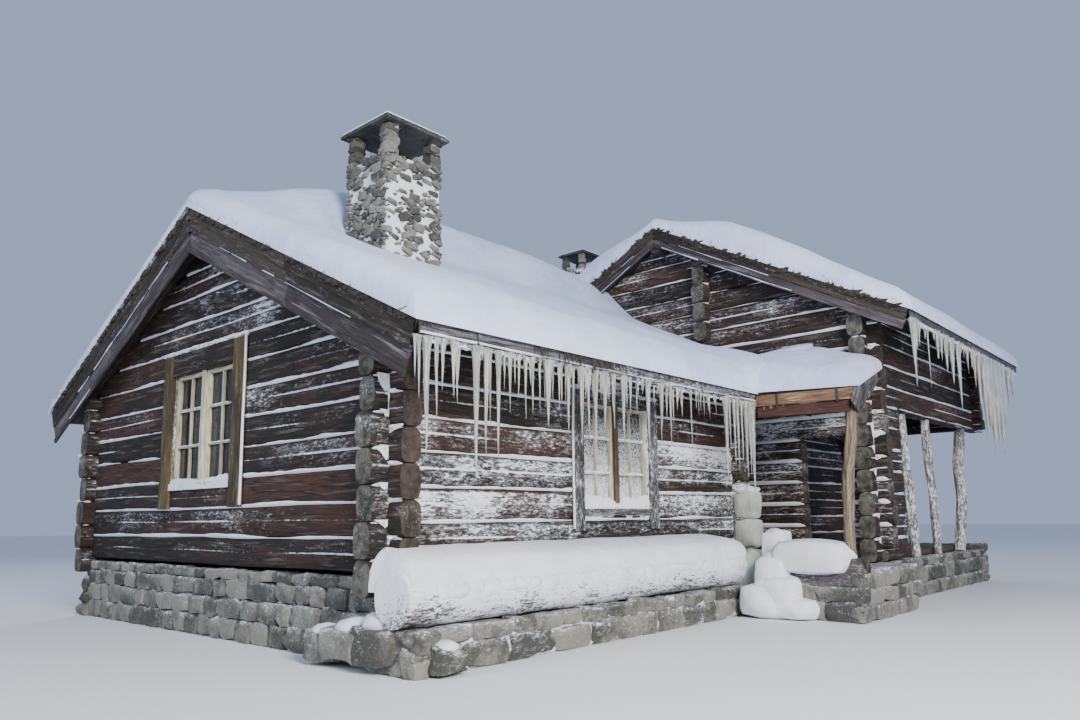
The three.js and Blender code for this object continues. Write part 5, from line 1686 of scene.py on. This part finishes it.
class CHALET_OT_foundations(bpy.types.Operator):
    """Build the rubble footings of both wings"""
    bl_idname = "chalet.foundations"
    bl_label = "Foundations"

    def execute(self, context):
        stones = stone_patterns(6, 1.0)
        draw = random.Random(5)
        inset, footing, core_top = 0.06, 0.38, SILL - 0.02
        for wing, name in ((FRONT, "front"), (REAR, "rear")):
            pile = Pile()
            for area in rim(wing.x0 + inset, wing.x1 - inset, wing.y0 + inset, wing.y1 - inset, footing):
                plain_core(pile, area, core_top)
            for origin, run, out, length in block_faces(wing.x0, wing.x1, wing.y0, wing.y1, GROUND):
                rise = SILL - GROUND - 0.01 + (0.14 if abs(run.y) > 0.5 else 0.0)
                rubble_face(pile, stones, draw, origin - out * 0.02, run, out, length, rise, 0.17, 0.32)
            if wing is FRONT:
                plain_core(pile, (-0.12, 4.68, -0.49, 0.08), -0.5)
                for x, run, out, length, stone in ((-0.14, EAST, SOUTH, 4.84, 0.36),
                                                   (-0.15, NORTH, WEST, 0.5, 0.3)):
                    origin = Vector((x, -0.5, GROUND))
                    rubble_face(pile, stones, draw, origin, run, out, length, 0.32, 0.16, stone)
            else:
                plain_core(pile, (6.43, 11.17, 0.71, 1.1), core_top)
            keep(pile.make(name + "_footings"), ["stone", "mortar"], [name + "_foundation"])
        return {"FINISHED"}


def fit_stones(pile, patterns, draw, origin, run, out, length, height, covered, tries=1500):
    """Set field stones on a face, the big ones first; covered says where snow hides them."""
    laid = []
    for number in range(tries):
        share = 1.0 - number / tries
        wide = (0.035 + 0.135 * share ** 2.6) * draw.uniform(0.8, 1.2)
        tall = wide * draw.uniform(0.45, 0.8)
        along = draw.uniform(0.35 * wide, length - 0.35 * wide)
        up = draw.uniform(0.4 * tall, height - 0.2 * tall)
        if any(((along - a) / (wide + w)) ** 2 + ((up - u) / (tall + t)) ** 2 < 0.2 for a, u, w, t in laid):
            continue
        laid.append((along, up, wide, tall))
        here = origin + run * along + UP * up
        half_buried = covered(here)
        if half_buried and draw.random() < 0.5:
            continue
        proud = 0.016
        if half_buried:
            wide, tall, proud = 0.75 * wide, 0.5 * tall, 0.008
        deep = 0.05 + 0.25 * wide
        size = [abs(r) * wide + abs(o) * deep for r, o in zip(run, out)]
        lay_stone(pile, patterns, draw, here - out * (0.5 * deep - proud), (size[0], size[1], tall), 0, -0.06,
                  0.12, Matrix.Rotation(draw.uniform(-0.55, 0.55), 3, out))


CORE_INSET = 0.02    # of a chimney's mortared core, behind its face stones


class CHALET_OT_chimneys(bpy.types.Operator):
    """Build both rubble chimneys with their corner piers, slab caps and snow"""
    bl_idname = "chalet.chimneys"
    bl_label = "Chimneys"

    def execute(self, context):
        stones = stone_patterns(7, 0.9)
        board = board_pattern(6)
        draw = random.Random(17)
        self.chimney("chimney", (2.6, 4.18), 0.185, 0.35, stones, board, draw)
        self.chimney("rear_chimney", (3.2, 4.64), 0.13, 0.23, stones, board, draw)
        return {"FINISHED"}

    @staticmethod
    def chimney(name, heights, pier, flue, stones, board, draw):
        foot, head = local_box(name + "_stack")
        x0, x1, y0, y1, top = foot.x, head.x, foot.y, head.y, head.z
        base, shoulder = heights
        pile = Pile()
        block = Pattern(start_cube((1.0, 1.0, 1.0), 9))
        wall = 0.5 * (x1 - x0 - flue)
        for a, b, c, d in rim(x0, x1, y0, y1, wall):
            low = Vector((a + CORE_INSET, c + CORE_INSET, base))
            high = Vector((b - CORE_INSET, d - CORE_INSET, shoulder - 0.01))
            heap(pile, block, 0.5 * (low + high), high - low, a + d, 0.02, 1)
            plain_core(pile, (low.x, high.x, low.y, high.y), base + 0.05)

        def covered(here):
            windward = 0.06 if here.y < y0 + 0.05 else -0.12
            return noise.noise(here * 4.8 + Vector((0.3, 0.0, 1.7))) + windward > 0.08

        for origin, run, out, length in block_faces(x0, x1, y0, y1, base):
            fit_stones(pile, stones, draw, origin, run, out, length, shoulder - base, covered)
        for px, py in ((x0, y0), (x1 - pier, y0), (x0, y1 - pier), (x1 - pier, y1 - pier)):
            z = shoulder - 0.02
            while z < top - 0.01:
                rise = min(draw.uniform(0.045, 0.085), top - z)
                wide = pier * draw.uniform(0.72, 0.86)
                centre = Vector((px + (0.6 if px > x0 else 0.4) * pier, py + (0.6 if py > y0 else 0.4) * pier,
                                 z + 0.5 * rise))
                # Only the near corner pier keeps the lit rubble finish; the other piers take the dark slate
                # finish, which is painted shade.
                finish = 0 if px == x0 and py == y0 else 2
                lay_stone(pile, stones, draw, centre, (wide, wide, rise * 1.3), finish, -0.1)
                z += rise
        keep(pile.make(name + "_stonework"), ["stone", "mortar", "slate"], [name + "_stack"])

        low, high = local_box(name + "_cap")
        slab = Pile()
        tall = high.z - low.z
        middle = 0.5 * (low.y + high.y)
        for layer, (share, back) in enumerate(((0.25, 0.0), (0.6, 0.03))):
            z = low.z + share * tall
            lay_board(slab, board, (low.x + back, middle, z), (high.x - 1.4 * back, middle, z), NORTH,
                      high.y - low.y - 2 * back, 0.34 * tall, drift=-0.05, bow=0.012, seed=layer + 3)
        keep(slab.make(name + "_slab"), ["slate"], [name + "_cap"])
        area = (low.x + 0.02, high.x - 0.03, low.y + 0.02, high.y - 0.02)
        crown = low.z + 0.77 * tall

        def cap_snow(x, y):
            lip = rounding(min(x - area[0], area[1] - x, y - area[2], area[3] - y), 0.1)
            return crown + (high.z - crown - 0.004) * (0.2 + 0.8 * lip * (0.8 + 0.2 * waver(x, y, 0)))

        snow_sheet(name + "_cap_snow", area, (16, 16), lambda x, y: crown - 0.01, cap_snow, [])


class CHALET_OT_base_log(bpy.types.Operator):
    """Lay the long base log and the snow-capped stones beside the near corner"""
    bl_idname = "chalet.base_log"
    bl_label = "Base log"

    def execute(self, context):
        bar = round_pattern(26, 60)
        low, high = local_box("base_log")
        pile = Pile()
        points = [(x, BASE_LOG_Y, BASE_LOG_Z) for x in (low.x, 0.5 * (low.x + high.x), high.x)]

        def paler_above(place):
            return 0.5 + 0.9 * (place.z - BASE_LOG_Z)

        lay_round(pile, bar, points, BASE_LOG_RADIUS - 0.004, drift=paler_above, seed=3, end_finish=1,
                  rough=0.07)
        keep(pile.make("snow_topped_log"), ["log", "mossy_end"], ["base_log"])

        stones = stone_patterns(4, 0.8)
        lumps = lump_patterns(3)
        draw = random.Random(8)
        rocks, caps = Pile(), Pile()
        for x, y, z, size in ((-0.06, -0.1, -0.6, 0.42), (-0.1, 0.22, -0.62, 0.36),
                              (-0.12, 0.55, -0.66, 0.3), (0.12, -0.5, -0.7, 0.26)):
            lay_stone(rocks, stones, draw, Vector((x, y, z)), (size, size * 1.1, size * 0.8))
            pattern = draw.choice(lumps)

            def shape(point, x=x, y=y, z=z, size=size):
                place = Vector((x + point.x * size * 0.9, y + point.y * size,
                                z + size * 0.33 + point.z * size * 0.45))
                place.x = max(place.x, FRONT_SNOW[0] + 0.002)
                return place

            caps.add(pattern, shape)
        for number in range(56):
            x = draw.uniform(-0.12, 4.6)
            hang = 0.05 + 0.09 * max(waver(x * 1.6, 3.0, 0.0) + 0.45, 0.0) * draw.uniform(0.6, 1.3)
            heap(caps, draw.choice(lumps), (x, -0.51, -0.19 - 0.45 * hang),
                 (draw.uniform(0.1, 0.3), 0.05, hang + 0.04), seed=number, rough=0.5)
        keep(rocks.make("corner_stones"), ["stone"])
        keep(caps.make("corner_stone_snow"), ["less_blue_snow"], smooth=60.0)
        return {"FINISHED"}


class CHALET_OT_porch(bpy.types.Operator):
    """Build the porch: kerb, platform, crooked post, beam, roof and fascia boards"""
    bl_idname = "chalet.porch"
    bl_label = "Porch"

    def execute(self, context):
        board, long_board = board_pattern(8), board_pattern(20)
        bar = round_pattern(14, 30)
        stones = stone_patterns(5, 1.0)
        draw = random.Random(23)
        self.platform(board, stones, draw)
        self.timbers(bar, board, long_board)
        self.snow()
        return {"FINISHED"}

    @staticmethod
    def platform(board, stones, draw):
        low, high = local_box("porch_kerb_log")
        kerb = Pile()
        x = 0.5 * (low.x + high.x)
        lay_board(kerb, board, (x, low.y, -0.3), (x, high.y, -0.3), UP, 0.29, high.x - low.x, drift=0.05,
                  bow=0.008, end_finish=1)
        plain_core(kerb, (low.x + 0.03, high.x, low.y + 0.03, high.y), -0.43, 2)
        footing = Pile()
        faces = (
            (low.x, low.y, NORTH, WEST, high.y - low.y, 0.36, 0.3),
            (4.85, -0.74, NORTH, WEST, 0.54, 0.48, 0.24),
            (low.x, low.y, EAST, SOUTH, REAR.x0 - low.x, 0.5, 0.3),
            (FRONT.x1, 4.3, EAST, NORTH, REAR.x0 - FRONT.x1, 0.47, 0.28))
        for x, y, run, out, length, rise, stone in faces:
            rubble_face(footing, stones, draw, Vector((x, y, GROUND)), run, out, length, rise, 0.17, stone)
        keep(kerb.make("porch_kerb"), ["board", "log_end", "mortar"], ["porch_kerb_log"])
        deck = Pile()
        level, pitch = -0.302, 0.165
        for area in ((4.85, REAR.x0, -1.75, -0.2), (FRONT.x1, REAR.x0, -0.21, 4.3)):
            plain_core(deck, area, -0.32)
        for count, x, start, drift in ((9, 4.86, -1.72, 0.3), (27, FRONT.x1 + 0.005, -0.2, -0.1)):
            for index in range(count):
                y = start + index * pitch
                lay_board(deck, board, (x, y, level), (REAR.x0 - 0.01, y, level), NORTH, 0.16, 0.03,
                          drift=drift, seed=index)
        keep(deck.make("porch_deck"), ["floor", "mortar"], ["porch_platform"])
        keep(footing.make("porch_footing_stones"), ["stone"])

    @staticmethod
    def timbers(bar, board, long_board):
        post = Pile()
        lay_round(post, bar, [(4.7, -1.69, -0.15), (4.65, -1.7, 0.3), (4.76, -1.69, 0.72),
                              (4.82, -1.715, 1.08), (4.945, -1.702, 1.55)], 0.058, drift=-0.15, seed=4,
                  end_finish=1, rough=0.3)
        keep(post.make("crooked_porch_post"), ["pole", "log_end"], ["porch_post"])
        beam = Pile()
        route = [(x, y, porch_top(x, y) - 0.122) for x, y in ((4.828, -1.717), (5.6, -1.61), (6.375, -1.49))]
        lay_round(beam, bar, route, 0.07, drift=0.0, seed=6, end_finish=1, rough=0.15)
        keep(beam.make("porch_beam_log"), ["log", "log_end"], ["porch_beam"])

        roof = Pile()
        low, high = local_box("porch_roof")
        width = 0.166
        count = round((high.x - low.x) / width)
        for index in range(count):
            x = low.x + (index + 0.5) * (high.x - low.x) / count
            outer, inner = porch_bend(x, PORCH_Y[0]), PORCH_Y[1]
            lay_board(roof, board, (x, outer, porch_top(x, outer) - 0.025),
                      (x, inner, porch_top(x, inner) - 0.025), (1.0, 0.0, PORCH_CLIMB), 1.03 * width - 0.003,
                      0.046, drift=-0.3, seed=index)
        keep(roof.make("porch_roof_boards"), ["deck"], ["porch_roof"])

        fascia = Pile()
        face = local_box("porch_fascia")[0].x
        near, far = -0.674, -1.798
        lay_board(fascia, long_board, (face + 0.013, near, 1.6), (face + 0.013, far, 1.58), UP, 0.125, 0.025,
                  drift=-0.35, seed=1)
        lay_board(fascia, long_board, (face + 0.036, near, 1.47), (face + 0.036, far + 0.06, 1.45), UP, 0.12,
                  0.02, 1, drift=-0.1, seed=2)
        for y in (-0.93, -1.62):
            lay_board(fascia, board, (face - 0.003, y, 1.66), (face - 0.003, y - 0.006, 1.51), NORTH, 0.03,
                      0.006, 2, drift=-0.5)
        keep(fascia.make("porch_fascia_boards"), ["fresh", "ochre", "iron"], ["porch_fascia"])

        flap = Pile()
        for index in range(6):
            x = 4.92 + 0.21 * index
            top = Vector((x, porch_bend(x, PORCH_Y[0]) - 0.035, porch_top(x, PORCH_Y[0]) - 0.01))
            foot = top + Vector((-0.12, 0.02, -0.25 + 0.026 * index))
            lay_board(flap, board, top, foot, (1.0, 0.0, PORCH_CLIMB), 0.25, 0.016, drift=0.05, bow=0.012,
                      seed=index)
        keep(flap.make("bark_flap"), ["board"])

    @staticmethod
    def snow():
        """Snow rolled over the kerb log, and the capped stump at the corner."""
        pillow = pillow_pattern()
        pile = Pile()
        heap(pile, pillow, (4.675, -1.285, -0.15), (0.36, 0.79, 0.33), seed=2, rough=0.03)
        heap(pile, pillow, (4.93, -0.76, -0.09), (0.27, 0.26, 0.42), seed=4, rough=0.14)
        for seed, (centre, size) in enumerate((
                ((4.64, -0.86, -0.44), (0.38, 0.35, 0.58)), ((4.58, -0.94, -0.57), (0.44, 0.44, 0.42)),
                ((4.56, -0.78, -0.62), (0.5, 0.44, 0.33)), ((4.6, -1.1, -0.69), (0.42, 0.46, 0.2)))):
            heap(pile, pillow, centre, size, seed=seed + 6, rough=0.08)
        heap(pile, pillow, (4.8, -0.47, -0.45), (0.29, 0.29, 0.64), seed=9, rough=0.1, finish=1)
        for index in range(9):
            heap(pile, pillow, (5.2 + 0.13 * index, -1.0 + 0.06 * (index % 3), -0.28), (0.3, 0.6, 0.09),
                 seed=index)
        for level, height in enumerate((-0.28, 0.08, 0.43)):
            heap(pile, pillow, (5.46, -0.145, height), (0.29, 0.265, 0.335), seed=level + 3, rough=0.1,
                 finish=1)
        heap(pile, pillow, (5.46, -0.15, 0.6), (0.27, 0.22, 0.09), seed=5, rough=0.4)
        keep(pile.make("kerb_snow"), ["less_blue_snow", "crust"], smooth=60.0)


class CHALET_OT_gallery(bpy.types.Operator):
    """Set up the rough gallery posts of the rear wing"""
    bl_idname = "chalet.gallery"
    bl_label = "Gallery posts"

    def execute(self, context):
        bar = round_pattern(14, 26)
        routes = (
            ([(8.06, -1.28, SILL), (7.9, -1.29, 0.6), (7.76, -1.3, 1.66)], 0.062),
            ([(8.98, -1.3, SILL), (8.87, -1.31, 0.7), (8.74, -1.31, 1.66)], 0.057),
            ([(10.05, -1.3, SILL), (10.33, -1.32, 0.5), (10.33, -1.3, 1.1), (10.6, -1.31, 1.66)], 0.077))
        for index, (points, radius) in enumerate(routes):
            pile = Pile()
            lay_round(pile, bar, points, radius, drift=0.3, seed=index + 11, end_finish=1, rough=0.3)
            keep(pile.make(f"rough_post_{index + 1}"), ["pole", "log_end"],
                 [f"gallery_post_{index + 1}"])
        return {"FINISHED"}


class CHALET_OT_inner_finishes(bpy.types.Operator):
    """Give the floors, ridge logs and panes of the frame their finish"""
    bl_idname = "chalet.inner_finishes"
    bl_label = "Floors, ridge logs and glass"

    def execute(self, context):
        floor = self.on_object_grain("Floor boards", (0.25, 0.17, 0.11), (0.1, 0.07, 0.045), 2.866242)
        ridge = self.on_object_grain("Ridge log", (0.085, 0.05, 0.034), (0.03, 0.02, 0.015), 4.299363)
        inner = {"front_floor": floor, "rear_floor": floor, "front_ridge_log": ridge, "rear_ridge_log": ridge}
        for name, *_ in WINDOWS:
            inner[name + "_glass"] = MATERIALS["glass"]
        for node, material in inner.items():
            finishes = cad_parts[node].data.materials
            finishes.clear()
            finishes.append(material)
        return {"FINISHED"}

    @staticmethod
    def on_object_grain(name, light, dark, bands):
        material, tree = new_material(name, light)
        place = object_place(tree)
        look = group_node(tree, "wood", Grain=place, Dark=dark, Warm=light, Silver=light, Crack=0.5)
        lines = put(tree, "ShaderNodeTexWave", {"bands_direction": "Y"}, Scale=bands, Vector=place)
        groove = ease(tree, lines.outputs["Fac"], 0.0, 0.06)
        colour = mix(tree, groove, (0.01, 0.008, 0.006), look.outputs["Color"])
        finish_surface(tree, colour, look.outputs["Height"], 0.8, 0.4, 0.01)
        return material


# Name, place, aim, size, power and colour
LIGHTS = (
    ("key_light", Vector((-4.0, -12.0, 5.6)), Vector((2.5, 0.0, 0.8)), 5.0, 3500.0, (1.0, 0.93, 0.83)),
    ("side_light", Vector((-12.0, 3.0, 6.0)), Vector((0.0, 3.0, 1.0)), 7.0, 760.0, (0.9, 0.95, 1.0)),
    ("back_light", Vector((12.0, 14.0, 12.0)), Vector((4.0, 2.0, 2.0)), 8.0, 900.0, (0.9, 0.94, 1.0)))


class CHALET_OT_stage(bpy.types.Operator):
    """Set the pale floor, soft light and the camera"""
    bl_idname = "chalet.stage"
    bl_label = "Floor, light and camera"

    def execute(self, context):
        floor = primitive("plane", size=160.0, location=(0.0, 0.0, -0.001))
        floor.name = "studio_floor"
        material, tree = new_material("Studio floor", (0.6, 0.62, 0.66))
        dress(tree, Base_Color=(0.76, 0.78, 0.82), Roughness=0.9)
        floor.data.materials.append(material)

        world = bpy.data.worlds.new("Soft studio")
        world.use_nodes = True
        sky = world.node_tree.nodes["Background"]
        sky.inputs["Color"].default_value = (0.4, 0.48, 0.68, 1.0)
        sky.inputs["Strength"].default_value = 0.9
        context.scene.world = world

        for lamp in LIGHTS:
            self.area(*lamp)
        self.camera(context)
        return {"FINISHED"}

    @staticmethod
    def area(name, place, aim, size, power, colour):
        light = bpy.data.lights.new(name, "AREA")
        light.shape = "DISK"
        light.size = size
        light.energy = power
        light.color = colour
        obj = bpy.data.objects.new(name, light)
        obj.location = place + SHIFT
        obj.rotation_euler = (aim - place).to_track_quat("-Z", "Y").to_euler()
        bpy.context.collection.objects.link(obj)

    @staticmethod
    def camera(context):
        data = bpy.data.cameras.new("picture_camera")
        data.lens = CAMERA_LENS
        data.sensor_width = 36.0
        data.shift_y = CAMERA_SHIFT
        data.clip_end = 300.0
        flat = math.cos(CAMERA_PITCH)
        forward = Vector((math.cos(CAMERA_YAW) * flat, math.sin(CAMERA_YAW) * flat, math.sin(CAMERA_PITCH)))
        level = Vector((math.sin(CAMERA_YAW), -math.cos(CAMERA_YAW), 0.0))
        upward = level.cross(forward)
        right = level * math.cos(CAMERA_ROLL) + upward * math.sin(CAMERA_ROLL)
        top = upward * math.cos(CAMERA_ROLL) - level * math.sin(CAMERA_ROLL)
        turn = Matrix((right, top, -forward)).transposed().to_4x4()
        camera = bpy.data.objects.new("picture_camera", data)
        camera.matrix_world = Matrix.Translation(CAMERA_PLACE + SHIFT) @ turn
        context.collection.objects.link(camera)
        context.scene.camera = camera


OPERATORS = (
    CHALET_OT_log_walls, CHALET_OT_ledge_snow, CHALET_OT_windows, CHALET_OT_roof_boards, CHALET_OT_grass,
    CHALET_OT_roof_snow, CHALET_OT_chimneys, CHALET_OT_icicles, CHALET_OT_foundations, CHALET_OT_base_log,
    CHALET_OT_porch, CHALET_OT_gallery, CHALET_OT_inner_finishes, CHALET_OT_stage,
)


class CHALET_PT_sidebar(bpy.types.Panel):
    """Lists the chalet's pieces in the order in which they are made"""
    bl_idname = "CHALET_PT_sidebar"
    bl_label = "Log chalet"
    bl_space_type = "VIEW_3D"
    bl_region_type = "UI"
    bl_category = "Chalet"

    def draw(self, context):
        layout = self.layout
        for owner in (context.scene.chalet_sizes, context.scene.chalet_colours):
            box = layout.box()
            for name in owner.__annotations__:
                box.prop(owner, name)
        for operator in OPERATORS:
            layout.operator(operator.bl_idname)


CLASSES = (ChaletSizes, ChaletColours, *OPERATORS, CHALET_PT_sidebar)


def register():
    for item in CLASSES:
        bpy.utils.register_class(item)
    bpy.types.Scene.chalet_sizes = bpy.props.PointerProperty(type=ChaletSizes)
    bpy.types.Scene.chalet_colours = bpy.props.PointerProperty(type=ChaletColours)


def unregister():
    del bpy.types.Scene.chalet_colours
    del bpy.types.Scene.chalet_sizes
    for item in reversed(CLASSES):
        bpy.utils.unregister_class(item)


def main():
    register()
    make_materials(bpy.context.scene.chalet_colours)
    for operator in OPERATORS:
        group, name = operator.bl_idname.split(".")
        getattr(getattr(bpy.ops, group), name)()


if __name__ == "__main__":
    main()
